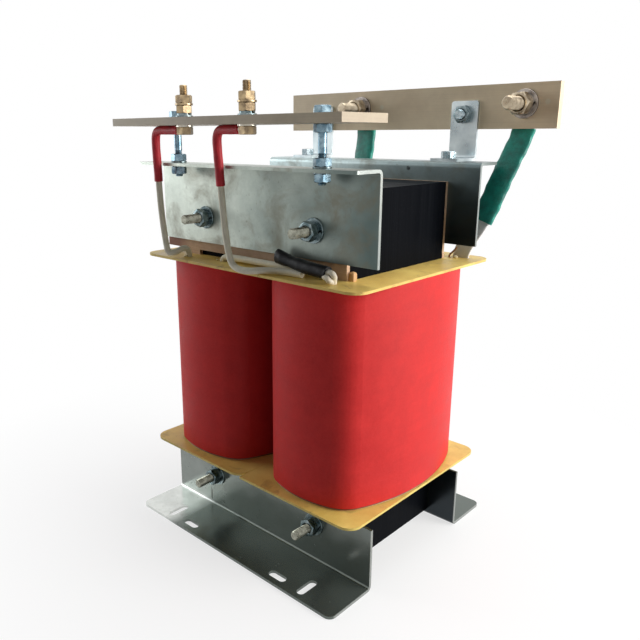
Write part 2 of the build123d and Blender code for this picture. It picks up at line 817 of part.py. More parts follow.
def make_front_board():
    write("front_terminal_board", front_board())
    bolts = []
    nuts = []
    washers = []
    bore = small_bolt_diameter + 2 * thread_play
    end = top_clamp_top - clamp_thickness - small_washer_thickness - small_nut_height - support_bolt_end
    for side in SIDES.values():
        at = Pos(side * front_bolt_x, -flange_centre, 0)
        shank = Rot(180, 0, 0) * rod(small_bolt_diameter, front_board_top - end)
        bolts.append(at * Pos(0, 0, front_board_top) * (shank + hexagon(small_across_flats, small_head_height, 0)))
        nut = hexagon(small_across_flats, small_nut_height, bore)
        washer = ring(small_washer_diameter, bore, small_washer_thickness)
        nuts.append(at * Pos(0, 0, front_board_height - small_nut_height) * nut)
        nuts.append(at * Pos(0, 0, top_clamp_top + small_washer_thickness) * nut)
        under = top_clamp_top - clamp_thickness - small_washer_thickness
        nuts.append(at * Pos(0, 0, under - small_nut_height) * nut)
        bracket_nut_z = top_clamp_top - clamp_thickness - small_nut_height
        nuts.append(Pos(side * bracket_x, flange_centre, bracket_nut_z) * nut)
        washers.append(at * Pos(0, 0, top_clamp_top) * washer)
        washers.append(at * Pos(0, 0, under) * washer)
        washers.append(Pos(front_terminal_x(side), front_terminal_y, front_board_top) * washer)
    write("front_board_bolts", bolts)
    write("small_zinc_nuts", nuts)
    write("small_flat_washers", washers)


def make_front_terminals():
    bolts = []
    nuts = []
    springs = []
    brass_washers = []
    bore = small_bolt_diameter + 2 * thread_play
    first_nut = small_washer_thickness + small_spring_thickness
    second_washer = first_nut + small_nut_height
    second_nut = second_washer + brass_washer_thickness
    head_top = front_board_height - lug_thickness
    grip = front_board_top + second_nut + small_nut_height - head_top
    for side in SIDES.values():
        at = Pos(front_terminal_x(side), front_terminal_y, front_board_top)
        below = Pos(front_terminal_x(side), front_terminal_y, head_top)
        shank = terminal_stud(small_bolt_diameter, grip, front_stud_end, 0.8)
        head = Rot(180, 0, 0) * hexagon(small_across_flats, small_head_height, 0)
        bolts.append(below * (shank + head))
        nut = hexagon(small_across_flats, small_nut_height, engaged_bore(small_bolt_diameter))
        nuts.append(at * Pos(0, 0, first_nut) * nut)
        nuts.append(at * Pos(0, 0, second_nut) * Rot(0, 0, 12) * nut)
        spring = spring_ring(small_across_flats, bore, small_spring_thickness)
        springs.append(at * Pos(0, 0, small_washer_thickness) * spring)
        brass = ring(small_washer_diameter, bore, brass_washer_thickness)
        brass_washers.append(at * Pos(0, 0, second_washer) * brass)
    write("front_terminal_bolts", bolts)
    write("front_terminal_nuts", nuts)
    write("front_terminal_spring_washers", springs)
    write("front_terminal_brass_washers", brass_washers)


# --- rear terminal board ---------------------------------------------------------------------

def rear_board():
    body = block((-rear_board_left, rear_board_right), (bracket_back, rear_board_back),
                 (rear_board_bottom, rear_board_bottom + rear_board_height))
    for side in SIDES.values():
        bore = Cylinder(stud_diameter / 2 + thread_play, 4 * rear_board_thickness)
        body -= Pos(side * bracket_x, bracket_back, bracket_bolt_z) * Rot(90, 0, 0) * bore
    for x in (rear_terminal_left, rear_terminal_right):
        bore = Cylinder(rear_stud_diameter / 2 + thread_play, 4 * rear_board_thickness)
        body -= Pos(x, bracket_back, rear_terminal_height) * Rot(90, 0, 0) * bore
    return body


def bracket():
    """Bent strip: a foot on the top rear clamp and a leg up the front of the rear board."""
    front = bracket_back - bracket_foot_length
    outline = Polyline(
        (0, front, top_clamp_top),
        (0, bracket_back, top_clamp_top),
        (0, bracket_back, top_clamp_top + bracket_leg_height),
        (0, bracket_back - bracket_thickness, top_clamp_top + bracket_leg_height),
        (0, bracket_back - bracket_thickness, bracket_foot_top),
        (0, front, bracket_foot_top),
        close=True,
    )
    body = extrude(make_face(outline), bracket_width / 2, dir=(1, 0, 0), both=True)
    corner = (0, bracket_back - bracket_thickness, bracket_foot_top)
    body = fillet(body.edges().filter_by(Axis.X).sort_by_distance(corner)[0], bracket_bend_radius)
    corner = (0, bracket_back, top_clamp_top)
    body = fillet(body.edges().filter_by(Axis.X).sort_by_distance(corner)[0],
                  bracket_bend_radius + bracket_thickness)
    corners = body.edges().filter_by(Axis.Y).group_by(Axis.Z)[-1]
    body = fillet(corners, bracket_corner_radius)
    foot_bore = Cylinder(small_bolt_diameter / 2 + hole_clearance, 4 * bracket_thickness)
    leg_bore = Cylinder(stud_diameter / 2 + hole_clearance, 4 * bracket_thickness)
    body -= Pos(0, flange_centre, top_clamp_top) * foot_bore
    return body - Pos(0, bracket_back, bracket_bolt_z) * Rot(90, 0, 0) * leg_bore


def make_rear_board():
    write("rear_terminal_board", rear_board())
    foot_bolts = []
    board_bolts = []
    flange_bottom = top_clamp_top - clamp_thickness
    grip = bracket_foot_top - flange_bottom + small_nut_height + support_bolt_end
    leg_face = bracket_back - bracket_thickness
    board_grip = rear_board_back - leg_face + stud_nut_height + board_bolt_end
    for name, side in SIDES.items():
        x = side * bracket_x
        write(name + "_rear_bracket", Pos(x, 0, 0) * bracket())
        foot = Pos(x, flange_centre, bracket_foot_top)
        shank = Rot(180, 0, 0) * rod(small_bolt_diameter, grip)
        foot_bolts.append(foot * (shank + hexagon(small_across_flats, small_head_height, 0)))
        rear = facing_rear(x, rear_board_back, bracket_bolt_z)
        shank = Rot(180, 0, 0) * rod(stud_diameter, board_grip)
        board_bolts.append(rear * (shank + hexagon(stud_nut_across_flats, board_bolt_head_height, 0)))
    write("bracket_foot_bolts", foot_bolts)
    write("bracket_board_bolts", board_bolts)


def make_rear_terminals():
    bolts = []
    nuts = []
    washers = []
    springs = []
    bore = rear_stud_diameter + 2 * thread_play
    lug_back = rear_board_back + rear_lug_thickness
    nut_seat = rear_washer_thickness + rear_spring_thickness
    grip = lug_back - bracket_back + nut_seat + rear_nut_height
    for x in (rear_terminal_left, rear_terminal_right):
        rear = facing_rear(x, lug_back, rear_terminal_height)
        shank = Rot(180, 0, 0) * terminal_stud(rear_stud_diameter, grip, rear_stud_end, 1.2)
        bolts.append(rear * (shank + hexagon(rear_across_flats, rear_head_height, 0)))
        front = facing_front(x, bracket_back, rear_terminal_height)
        washers.append(front * ring(rear_washer_diameter, bore, rear_washer_thickness))
        spring = spring_ring(rear_across_flats + 2, bore, rear_spring_thickness)
        springs.append(front * Pos(0, 0, rear_washer_thickness) * spring)
        nut = hexagon(rear_across_flats, rear_nut_height, engaged_bore(rear_stud_diameter))
        nuts.append(front * Pos(0, 0, nut_seat) * nut)
    write("rear_terminal_bolts", bolts)
    write("rear_terminal_nuts", nuts)
    write("rear_terminal_flat_washers", washers)
    write("rear_terminal_spring_washers", springs)


os.makedirs("parts", exist_ok=True)
make_core()
make_clamps()
make_insulation()
make_studs()
make_coils()
make_coil_flanges()
make_front_leads()
make_splice()
make_rear_conductors()
make_front_board()
make_front_terminals()
make_rear_board()
make_rear_terminals()
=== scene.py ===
import json
import math
import random
from collections import namedtuple

import bpy
from mathutils import Matrix, Vector


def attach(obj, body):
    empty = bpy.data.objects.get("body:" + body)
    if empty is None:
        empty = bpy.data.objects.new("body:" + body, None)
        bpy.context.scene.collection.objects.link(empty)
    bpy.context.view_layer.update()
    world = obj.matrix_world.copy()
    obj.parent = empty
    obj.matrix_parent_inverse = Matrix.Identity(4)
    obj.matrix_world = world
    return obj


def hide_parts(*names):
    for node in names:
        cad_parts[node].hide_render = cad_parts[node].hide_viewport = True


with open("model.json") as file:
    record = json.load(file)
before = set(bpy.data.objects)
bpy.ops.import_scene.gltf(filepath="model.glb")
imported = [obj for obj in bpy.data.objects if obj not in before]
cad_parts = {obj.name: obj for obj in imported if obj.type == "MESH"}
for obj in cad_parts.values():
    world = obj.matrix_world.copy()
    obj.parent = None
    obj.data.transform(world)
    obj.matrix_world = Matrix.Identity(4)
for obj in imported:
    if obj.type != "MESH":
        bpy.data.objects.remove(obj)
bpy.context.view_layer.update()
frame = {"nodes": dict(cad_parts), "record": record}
nodes = frame["nodes"]

MM = 0.001
TURN = 2 * math.pi

# Sizes that the pieces below share with the solids, in millimetres
LIMB_X = 77.0
BOTTOM_YOKE_Z = 44.5
TOP_YOKE_Z = 353.5
BOTTOM_FACE = 82.0
TOP_FACE = 86.5
STUD_PROJECTION = 31.5
STUD_NUT_SEAT = 4.5
BOARD_TOP = 455.5
BOARD_BOTTOM = 448.0
FLANGE_TOP = 411.0
SHEET = 3.0
SMALL_WASHER = 1.4
SMALL_SEAT = 3.3
LUG_SHEET = 1.5
FRONT_STUD_TOP = 484.6
SUPPORT_BOLT_END = 396.6
BOLT_ROW_Y = 103.0
SUPPORT_X = 100.0
BRACKET_X = 101.0
BRACKET_FACE = 131.0
BRACKET_BOLT_Z = 459.5
BRACKET_HEAD_HEIGHT = 6.4
BOARD_BOLT_LENGTH = 24.0
BRACKET_FOOT_BOLT_LENGTH = 15.5
FRONT_TERMINALS = (-48.5, 39.5)
FRONT_TERMINAL_Y = -133.5
FRONT_NUT_TURNS = ((0.82, 0.57), (0.70, 0.70))
SMOOTH_SHANK = 32.0
REAR_TERMINALS = (-41.0, 167.0)
REAR_TERMINAL_Z = 468.5
REAR_FACE = 134.0
REAR_BOARD_BACK = 142.0
REAR_LUG_BACK = 145.0
REAR_NUT_SEAT = 6.0
REAR_HEAD_HEIGHT = 8.8
REAR_STUD_END = 22.0
COIL_FLANGE_BOTTOM = 308.0
COIL_FLANGE_TOP = 310.5
LEAD_EXIT_Z = 443.7
LEAD_RADIUS = 3.3

# Threads and the nuts that fit them, and washers as outer and inner diameter and height
Thread = namedtuple("Thread", "diameter pitch across_flats nut_height")
M8 = Thread(8.0, 1.25, 14.0, 7.4)
M10 = Thread(10.0, 1.5, 17.0, 8.0)
M14 = Thread(14.0, 2.0, 21.0, 11.0)
NUT_PLAY = 0.2
STUD_WASHER = (24.0, 11.0, 2.0)
M8_WASHER = (17.0, 8.4, SMALL_WASHER)
BRASS_WASHER = (17.0, 8.4, 2.0)
REAR_WASHER = (29.0, 14.4, 2.5)

# How finely the round and bent shapes are cut
NUT_POINTS = 72
WASHER_POINTS = 48
ROUTE_RESOLUTION = 10
TUBE_END_SCALE = 0.8
TUBE_END_STEP = 0.35


# --- meshes ----------------------------------------------------------------------------------

class Shape:
    """Vertices and faces of one piece, gathered from rings of points."""

    def __init__(self):
        self.verts = []
        self.faces = []

    def rings(self, rings, place=Matrix(), loop=False):
        """Skin rings with the same number of points each, closed by caps or into a loop."""
        base = len(self.verts)
        count = len(rings[0])
        for ring in rings:
            self.verts += [place @ Vector(point) for point in ring]
        pairs = len(rings) if loop else len(rings) - 1
        for i in range(pairs):
            low = base + i * count
            high = base + (i + 1) % len(rings) * count
            for j in range(count):
                k = (j + 1) % count
                self.faces.append((low + j, low + k, high + k, high + j))
        if not loop:
            self.faces.append(tuple(base + j for j in reversed(range(count))))
            last = base + (len(rings) - 1) * count
            self.faces.append(tuple(last + j for j in range(count)))

    def piece(self, name, material, slot, replaces=(), sharp=35):
        mesh = bpy.data.meshes.new(name)
        mesh.from_pydata([v * MM for v in self.verts], [], self.faces)
        mesh.update()
        for face in mesh.polygons:
            face.use_smooth = True
        mesh.set_sharp_from_angle(angle=math.radians(sharp))
        mesh.materials.append(material)
        piece = bpy.data.objects.new(name, mesh)
        bpy.context.scene.collection.objects.link(piece)
        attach(piece, "root")
        if replaces:
            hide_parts(*replaces)
        return piece


def circle(radius, z, count):
    """Ring of points; radius is a number or a function of the angle."""
    ring = []
    for j in range(count):
        angle = TURN * j / count
        r = radius(angle) if callable(radius) else radius
        ring.append((r * math.cos(angle), r * math.sin(angle), z))
    return ring


def hexagon_radius(across_flats, limit):
    """Radius of a hexagon by angle, cut back to a turned corner."""
    def radius(angle):
        off = (angle + math.pi / 6) % (math.pi / 3) - math.pi / 6
        return min(across_flats / 2 / math.cos(off), limit)
    return radius


def hexagon_rings(across_flats, height, count):
    """Rings up the outside of a nut, its corners turned off at both ends."""
    flat = 0.485 * across_flats
    corner = across_flats / math.sqrt(3)
    rise = (corner - flat) / 1.73
    rings = []
    for share in (0, 0.25, 0.5, 0.75, 1):
        limit = flat + share * (corner - flat)
        rings.append(circle(hexagon_radius(across_flats, limit), share * rise, count))
    for share in (1, 0.75, 0.5, 0.25, 0):
        limit = flat + share * (corner - flat)
        rings.append(circle(hexagon_radius(across_flats, limit), height - share * rise, count))
    return rings


def add_nut(shape, thread, place):
    """Nut from Z = 0 up, its bore countersunk at both ends."""
    sink = 0.06 * thread.across_flats
    bore = (thread.diameter + NUT_PLAY) / 2
    top = thread.nut_height
    rings = [circle(bore, sink, NUT_POINTS), circle(bore + sink, 0, NUT_POINTS)]
    rings += hexagon_rings(thread.across_flats, top, NUT_POINTS)
    rings += [circle(bore + sink, top, NUT_POINTS), circle(bore, top - sink, NUT_POINTS)]
    shape.rings(rings, place, loop=True)


def add_head(shape, thread, height, place):
    """Bolt head from Z = 0 up, with a turned and slightly dished top."""
    flats = thread.across_flats
    rings = hexagon_rings(flats, height, NUT_POINTS)
    rings.append(circle(0.36 * flats, height, NUT_POINTS))
    rings.append(circle(0.33 * flats, height - 0.25, NUT_POINTS))
    shape.rings(rings, place)


def add_washer(shape, size, place):
    outer, inner, height = size
    edge = min(0.25, height / 4)
    corners = (
        (inner / 2, edge),
        (inner / 2 + edge, 0),
        (outer / 2 - edge, 0),
        (outer / 2, edge),
        (outer / 2, height - edge),
        (outer / 2 - edge, height),
        (inner / 2 + edge, height),
        (inner / 2, height - edge),
    )
    shape.rings([circle(r, z, WASHER_POINTS) for r, z in corners], place, loop=True)


def add_thread(shape, thread, start, end, place, tip=0.9):
    """Threaded shank between two heights, its far end turned to a short cone."""
    count = 24
    pitch = thread.pitch
    radius_out = thread.diameter / 2
    depth = 0.55 * pitch
    steps = max(2, round((end - start) / pitch * 4))
    rings = []
    for i in range(steps + 1):
        z = start + (end - start) * i / steps
        cone = radius_out - tip * max(0.0, 1 - (end - z) / tip)

        def radius(angle, z=z, cone=cone):
            wave = abs((z / pitch - angle / TURN) % 1 * 2 - 1)
            return min(radius_out - depth * (1 - wave), cone)
        rings.append(circle(radius, z, count))
    shape.rings(rings, place)


def add_shank(shape, diameter, start, end, place):
    shape.rings([circle(diameter / 2, start, 32), circle(diameter / 2, end, 32)], place)


def smooth_path(points):
    """Points along the NURBS spline of a route."""
    curve = bpy.data.curves.new("route", "CURVE")
    curve.dimensions = "3D"
    curve.resolution_u = ROUTE_RESOLUTION
    spline = curve.splines.new("NURBS")
    spline.points.add(len(points) - 1)
    for point, place in zip(spline.points, points):
        point.co = (*place, 1)
    spline.order_u = 3
    spline.use_endpoint_u = True
    holder = bpy.data.objects.new("route", curve)
    mesh = bpy.data.meshes.new_from_object(holder)
    path = [v.co.copy() for v in mesh.vertices]
    bpy.data.objects.remove(holder)
    bpy.data.curves.remove(curve)
    bpy.data.meshes.remove(mesh)
    return path


def even_path(path, step):
    """The same path with points a step apart."""
    lengths = [0.0]
    for a, b in zip(path, path[1:]):
        lengths.append(lengths[-1] + (b - a).length)
    count = max(2, round(lengths[-1] / step))
    even = []
    i = 0
    for k in range(count + 1):
        at = lengths[-1] * k / count
        while i < len(path) - 2 and lengths[i + 1] < at:
            i += 1
        span = lengths[i + 1] - lengths[i] or 1
        even.append(path[i].lerp(path[i + 1], (at - lengths[i]) / span))
    return even


def frames_along(path, first_side):
    """Direction, side and upward vectors at each point of a path, without twist."""
    result = []
    side = Vector(first_side)
    for i, point in enumerate(path):
        ahead = path[min(i + 1, len(path) - 1)] - path[max(i - 1, 0)]
        ahead.normalize()
        side = (side - ahead * side.dot(ahead)).normalized()
        result.append((point, ahead, side, ahead.cross(side)))
    return result


def add_tube(shape, path, section, count=24, first_side=(1, 0, 0)):
    """Tube along a path; section(share, angle) gives the offset along side and up."""
    rings = []
    frames = frames_along(path, first_side)
    for i, (point, _, side, up) in enumerate(frames):
        share = i / (len(frames) - 1)
        ring = []
        for j in range(count):
            across, rise = section(share, TURN * j / count)
            ring.append(point + side * across + up * rise)
        rings.append(ring)
    start = shrunk(rings[0], frames[0], -1)
    end = shrunk(rings[-1], frames[-1], 1)
    shape.rings([start, *rings, end])


def shrunk(ring, frame_at, direction):
    """A smaller copy of an end ring just past it, which rounds the tube's end."""
    point, ahead = frame_at[:2]
    past = ahead * (TUBE_END_STEP * direction)
    return [point + (p - point) * TUBE_END_SCALE + past for p in ring]


def placed(x, y, z, tilt, turn):
    """Place with its Z tilted about X from upright, turned about that Z."""
    tilted = Matrix.Translation((x, y, z)) @ Matrix.Rotation(tilt, 4, "X")
    return tilted @ Matrix.Rotation(turn, 4, "Z")


def front(x, y, z, turn=0.0):
    """Place whose Z points to the front."""
    return placed(x, y, z, math.pi / 2, turn)


def rear(x, y, z, turn=0.0):
    return placed(x, y, z, -math.pi / 2, turn)


def up(x, y, z, turn=0.0):
    return placed(x, y, z, 0.0, turn)


def down(x, y, z, turn=0.0):
    return placed(x, y, z, math.pi, turn)


# --- materials -------------------------------------------------------------------------------

class Look:
    """One procedural material, with short calls for the nodes it is made of.

    Its first colour and roughness hold until a texture is linked in their place.
    """

    def __init__(self, name, color, roughness, metallic=0.0, specular=0.5):
        self.material = bpy.data.materials.new(name)
        self.material.use_nodes = True
        self.tree = self.material.node_tree
        self.shader = self.tree.nodes["Principled BSDF"]
        self.shader.inputs["Base Color"].default_value = (*color, 1)
        self.shader.inputs["Roughness"].default_value = roughness
        self.shader.inputs["Metallic"].default_value = metallic
        self.shader.inputs["Specular IOR Level"].default_value = specular
        self.place = self.tree.nodes.new("ShaderNodeTexCoord").outputs["Object"]

    def link(self, source, target):
        self.tree.links.new(source, target)

    def stretched(self, scale):
        node = self.tree.nodes.new("ShaderNodeMapping")
        node.inputs["Scale"].default_value = scale
        self.link(self.place, node.inputs["Vector"])
        return node.outputs["Vector"]

    def noise(self, scale, detail=4.0, roughness=0.6, stretch=None, distortion=0.0):
        node = self.tree.nodes.new("ShaderNodeTexNoise")
        node.inputs["Scale"].default_value = scale
        node.inputs["Detail"].default_value = detail
        node.inputs["Roughness"].default_value = roughness
        node.inputs["Distortion"].default_value = distortion
        self.link(self.stretched(stretch) if stretch else self.place, node.inputs["Vector"])
        return node.outputs["Fac"]

    def wave(self, scale, direction, distortion=0.0, detail=2.0, detail_scale=1.0):
        node = self.tree.nodes.new("ShaderNodeTexWave")
        node.wave_type = "BANDS"
        node.bands_direction = direction
        node.inputs["Scale"].default_value = scale
        node.inputs["Distortion"].default_value = distortion
        node.inputs["Detail"].default_value = detail
        node.inputs["Detail Scale"].default_value = detail_scale
        self.link(self.place, node.inputs["Vector"])
        return node.outputs["Fac"]

    def cells(self, scale, stretch=None):
        node = self.tree.nodes.new("ShaderNodeTexVoronoi")
        node.inputs["Scale"].default_value = scale
        self.link(self.stretched(stretch) if stretch else self.place, node.inputs["Vector"])
        return node.outputs["Distance"]

    def range(self, value, low, high, to_low=0.0, to_high=1.0):
        node = self.tree.nodes.new("ShaderNodeMapRange")
        node.inputs["From Min"].default_value = low
        node.inputs["From Max"].default_value = high
        node.inputs["To Min"].default_value = to_low
        node.inputs["To Max"].default_value = to_high
        self.link(value, node.inputs["Value"])
        return node.outputs["Result"]

    def height(self, axis):
        node = self.tree.nodes.new("ShaderNodeSeparateXYZ")
        self.link(self.place, node.inputs["Vector"])
        return node.outputs[axis]

    def spot(self, centre, radius, tall=1.0):
        """Share that is 1 at a point and 0 beyond a radius; a spot can be taller than wide."""
        stretch = (1, 1, 1 / tall)
        node = self.tree.nodes.new("ShaderNodeVectorMath")
        node.operation = "DISTANCE"
        node.inputs[1].default_value = [v * MM * s for v, s in zip(centre, stretch)]
        self.link(self.stretched(stretch), node.inputs[0])
        return self.range(node.outputs["Value"], 0.5 * radius * MM, radius * MM, 1.0, 0.0)

    def math(self, operation, a, b):
        node = self.tree.nodes.new("ShaderNodeMath")
        node.operation = operation
        for socket, value in zip(node.inputs, (a, b)):
            if isinstance(value, (int, float)):
                socket.default_value = value
            else:
                self.link(value, socket)
        return node.outputs[0]

    def mix(self, share, a, b):
        node = self.tree.nodes.new("ShaderNodeMix")
        node.data_type = "RGBA"
        sockets = [s for s in node.inputs if s.type == "RGBA"]
        if isinstance(share, (int, float)):
            node.inputs["Factor"].default_value = share
        else:
            self.link(share, node.inputs["Factor"])
        for socket, value in zip(sockets, (a, b)):
            if isinstance(value, tuple):
                socket.default_value = (*value, 1)
            else:
                self.link(value, socket)
        return [s for s in node.outputs if s.type == "RGBA"][0]

    def color(self, value):
        self.link(value, self.shader.inputs["Base Color"])
        return self

    def rough(self, value):
        self.link(value, self.shader.inputs["Roughness"])
        return self

    def bump(self, value, distance, strength=1.0):
        node = self.tree.nodes.new("ShaderNodeBump")
        node.inputs["Distance"].default_value = distance
        node.inputs["Strength"].default_value = strength
        self.link(value, node.inputs["Height"])
        old = self.shader.inputs["Normal"].links
        if old:
            self.link(old[0].from_socket, node.inputs["Normal"])
        self.link(node.outputs["Normal"], self.shader.inputs["Normal"])
        return self


# Heights over which a bottom clamp's painted reflection fades from its flat foot to its upright
FOOT_TOP = 0.0032
FOOT_FADE = 0.007
CLAMP_END = 0.15
BROWN_STAIN = (0.13, 0.11, 0.07)
BROWN_SPECK = (0.09, 0.08, 0.06)
SCRATCH_PLACE = (64.0, TOP_FACE - SHEET, 403.4)
SCRATCH_COLOR = (0.02, 0.02, 0.02)
STREAK_PLACE = (-90.0, -BOTTOM_FACE, 14.0)
STREAK_COLOR = (0.03, 0.028, 0.02)
INNER_PAINTED_SHADE = (0.015, 0.022, 0.03)
CUT_COLOR = (0.62, 0.64, 0.61)


def zinc_sheet(name, pale, dull, ends, upright_share, cloudiness, roughness, inner=None):
    """Dull plated sheet: cloudy, with brownish stains and bright cut ends, and painted light.

    A painted reflection makes it pale towards -X, and painted shade darkens it towards +X.
    ends holds the X of the pale and the dull end of the painted reflection. The pale end is
    weaker by upright_share on the upright of a bottom clamp. inner holds the face of a rear
    clamp that gets painted shade, and the heights between which that painted shade fades upwards.
    """
    look = Look(name, pale, 0.4, metallic=0.7)
    clouds = look.range(look.noise(8, 4, 0.55, distortion=0.3), 0.3, 0.72, 0.0, cloudiness)
    # Painted reflection: pale towards -X, weaker on the upright of a bottom clamp
    painted_reflection = look.range(look.height("X"), *ends, 0.95, -0.1)
    flat = look.range(look.height("Z"), FOOT_TOP, FOOT_FADE, 1.0, upright_share)
    painted_reflection = look.math("MULTIPLY", painted_reflection, flat)
    fine = look.range(look.noise(55, 6, 0.7), 0.35, 0.7)
    stains = look.range(look.noise(22, 5, 0.62, distortion=0.5), 0.50, 0.66)
    specks = look.range(look.noise(240, 3, 0.6), 0.64, 0.74)
    # Darker colour used both for painted shade towards +X and for the fine mottle
    shade_and_grime = tuple(0.6 * c for c in dull)
    base = look.mix(look.math("ADD", clouds, painted_reflection), dull, pale)
    # Painted shade: darker towards +X
    base = look.mix(look.range(look.height("X"), -0.03, 0.14, 0.0, 0.6), base, shade_and_grime)
    base = look.mix(look.math("MULTIPLY", fine, 0.25), base, shade_and_grime)
    base = look.mix(look.math("MULTIPLY", stains, 0.7 * cloudiness), base, BROWN_STAIN)
    base = look.mix(look.math("MULTIPLY", specks, 0.35), base, BROWN_SPECK)
    scratch = look.range(look.noise(400, 2, 0.5), 0.3, 0.5)
    scratch = look.math("MULTIPLY", scratch, look.spot(SCRATCH_PLACE, 3.0))
    base = look.mix(scratch, base, SCRATCH_COLOR)
    streak = look.math("MULTIPLY", look.spot(STREAK_PLACE, 1.6, tall=6.0), 0.9)
    base = look.mix(streak, base, STREAK_COLOR)
    # Painted shade on the inner face of a rear clamp, fading upwards
    if inner:
        face, low, high = inner
        side = look.range(look.height("Y"), (face + 1.0) * MM, (face + 2.0) * MM, 1.0, 0.0)
        dark = look.math("MULTIPLY", side, look.range(look.height("Z"), low, high, 0.92, 0.0))
        base = look.mix(dark, base, INNER_PAINTED_SHADE)
    cut = look.range(look.height("X"), CLAMP_END - 0.0007, CLAMP_END - 0.0001, 0.0, 0.4)
    look.color(look.mix(cut, base, CUT_COLOR))
    look.rough(look.range(fine, 0, 1, *roughness))
    look.bump(look.noise(900, 2, 0.5, stretch=(0.08, 1, 1)), 0.00003, 0.4)
    look.bump(look.noise(14, 2, 0.4), 0.0005, 0.2)
    return look.material


def zinc_fastener(name, dark, pale):
    look = Look(name, pale, 0.26, metallic=0.95)
    clouds = look.range(look.noise(160, 4, 0.6), 0.35, 0.68)
    look.color(look.mix(clouds, dark, pale))
    look.rough(look.range(clouds, 0, 1, 0.2, 0.36))
    look.bump(look.noise(700, 3, 0.6), 0.00004, 0.3)
    return look.material


def zinc_bracket():
    look = Look("zinc_bracket", (0.6, 0.63, 0.64), 0.32, metallic=0.8)
    clouds = look.range(look.noise(40, 4, 0.6), 0.35, 0.68)
    look.color(look.mix(clouds, (0.42, 0.49, 0.52), (0.64, 0.70, 0.71)))
    look.rough(look.range(clouds, 0, 1, 0.26, 0.42))
    look.bump(look.noise(900, 2, 0.5, stretch=(1, 1, 0.08)), 0.00003, 0.4)
    return look.material


def brass(name, dark, pale, tarnished):
    look = Look(name, pale, 0.3, metallic=0.95)
    clouds = look.range(look.noise(120, 4, 0.65), 0.35, 0.7)
    tarnish = look.range(look.noise(45, 3, 0.6), 0.48, 0.72)
    base = look.mix(clouds, dark, pale)
    look.color(look.mix(look.math("MULTIPLY", tarnish, tarnished), base, (0.12, 0.085, 0.065)))
    look.rough(look.range(clouds, 0, 1, 0.26, 0.42))
    look.bump(look.noise(800, 3, 0.6), 0.00004, 0.4)
    return look.material


def tinned():
    look = Look("tinned_lug", (0.62, 0.60, 0.55), 0.34, metallic=0.9)
    clouds = look.range(look.noise(180, 4, 0.6), 0.35, 0.7)
    look.color(look.mix(clouds, (0.48, 0.44, 0.36), (0.70, 0.68, 0.62)))
    look.bump(look.noise(600, 3, 0.6), 0.00006, 0.5)
    return look.material


def core_lacquer():
    """Stacked strips under glossy black lacquer: fine lines along the strips and a few specks."""
    look = Look("core_lacquer", (0.006, 0.007, 0.009), 0.4, specular=0.015)
    strips = look.noise(1.0, 2, 0.5, stretch=(3, 1400, 3))
    groups = look.noise(1.0, 3, 0.6, stretch=(5, 260, 5))
    lines = look.math("MULTIPLY", strips, 0.6)
    lines = look.math("ADD", lines, look.math("MULTIPLY", groups, 0.4))
    dust = look.range(look.cells(330), 0.0, 0.09, 1.0, 0.0)
    lines_share = look.range(lines, 0.35, 0.7)
    base = look.mix(lines_share, (0.002, 0.0025, 0.004), (0.006, 0.007, 0.009))
    look.color(look.mix(look.math("MULTIPLY", dust, 0.5), base, (0.12, 0.12, 0.12)))
    look.rough(look.range(groups, 0.3, 0.7, 0.3, 0.5))
    look.bump(lines, 0.0001, 0.35)
    return look.material


def coil_wrap():
    """Varnished woven wrap: fine plain weave, faint horizontal courses, mottled red.

    Painted shade darkens it where the two coils face each other across their gap.
    """
    look = Look("coil_wrap", (0.74, 0.05, 0.045), 0.5, specular=0.18)
    weft = look.wave(380, "Z", 0.6, 2, 3)
    warp = look.noise(1.0, 2, 0.5, stretch=(900, 900, 6))
    course = look.noise(1.0, 3, 0.55, stretch=(4, 4, 75))
    mottle = look.range(look.noise(38, 6, 0.7), 0.3, 0.72)
    grain = look.range(look.noise(520, 3, 0.7), 0.3, 0.75)
    base = look.mix(mottle, (0.59, 0.018, 0.018), (0.74, 0.035, 0.034))
    courses = look.math("MULTIPLY", look.range(course, 0.35, 0.7), 0.3)
    base = look.mix(courses, base, (0.54, 0.020, 0.022))
    base = look.mix(look.math("MULTIPLY", grain, 0.22), base, (0.80, 0.08, 0.075))
    # Painted shade where the two coils face each other across their gap
    gap_shade = look.range(look.math("ABSOLUTE", look.height("X"), 0.0), 0.004, 0.045, 0.6, 0.0)
    look.color(look.mix(gap_shade, base, (0.16, 0.004, 0.006)))
    look.rough(look.range(mottle, 0, 1, 0.44, 0.6))
    look.bump(weft, 0.00016, 0.45)
    look.bump(warp, 0.00014, 0.35)
    look.bump(look.noise(30, 3, 0.5, stretch=(0.6, 0.6, 1.4)), 0.0012, 0.16)
    return look.material


def coil_flange(name, dark, pale, browned):
    """Glass laminate with faint cloth marks, browned in patches and near its front edge."""
    look = Look(name, pale, 0.36, specular=0.4)
    clouds = look.range(look.noise(20, 5, 0.65), 0.34, 0.7)
    brown = look.range(look.noise(60, 4, 0.6, distortion=1.0), 0.56, 0.74)
    near_front = look.range(look.height("Y"), -0.117, -0.10, 1.0, 0.45)
    base = look.mix(clouds, dark, pale)
    share = look.math("MULTIPLY", look.math("MULTIPLY", brown, near_front), browned)
    look.color(look.mix(share, base, (0.26, 0.15, 0.05)))
    look.rough(look.range(clouds, 0, 1, 0.3, 0.5))
    look.bump(look.wave(500, "X", 0.4, 2, 2), 0.00006, 0.35)
    look.bump(look.wave(500, "Y", 0.4, 2, 2), 0.00006, 0.35)
    return look.material


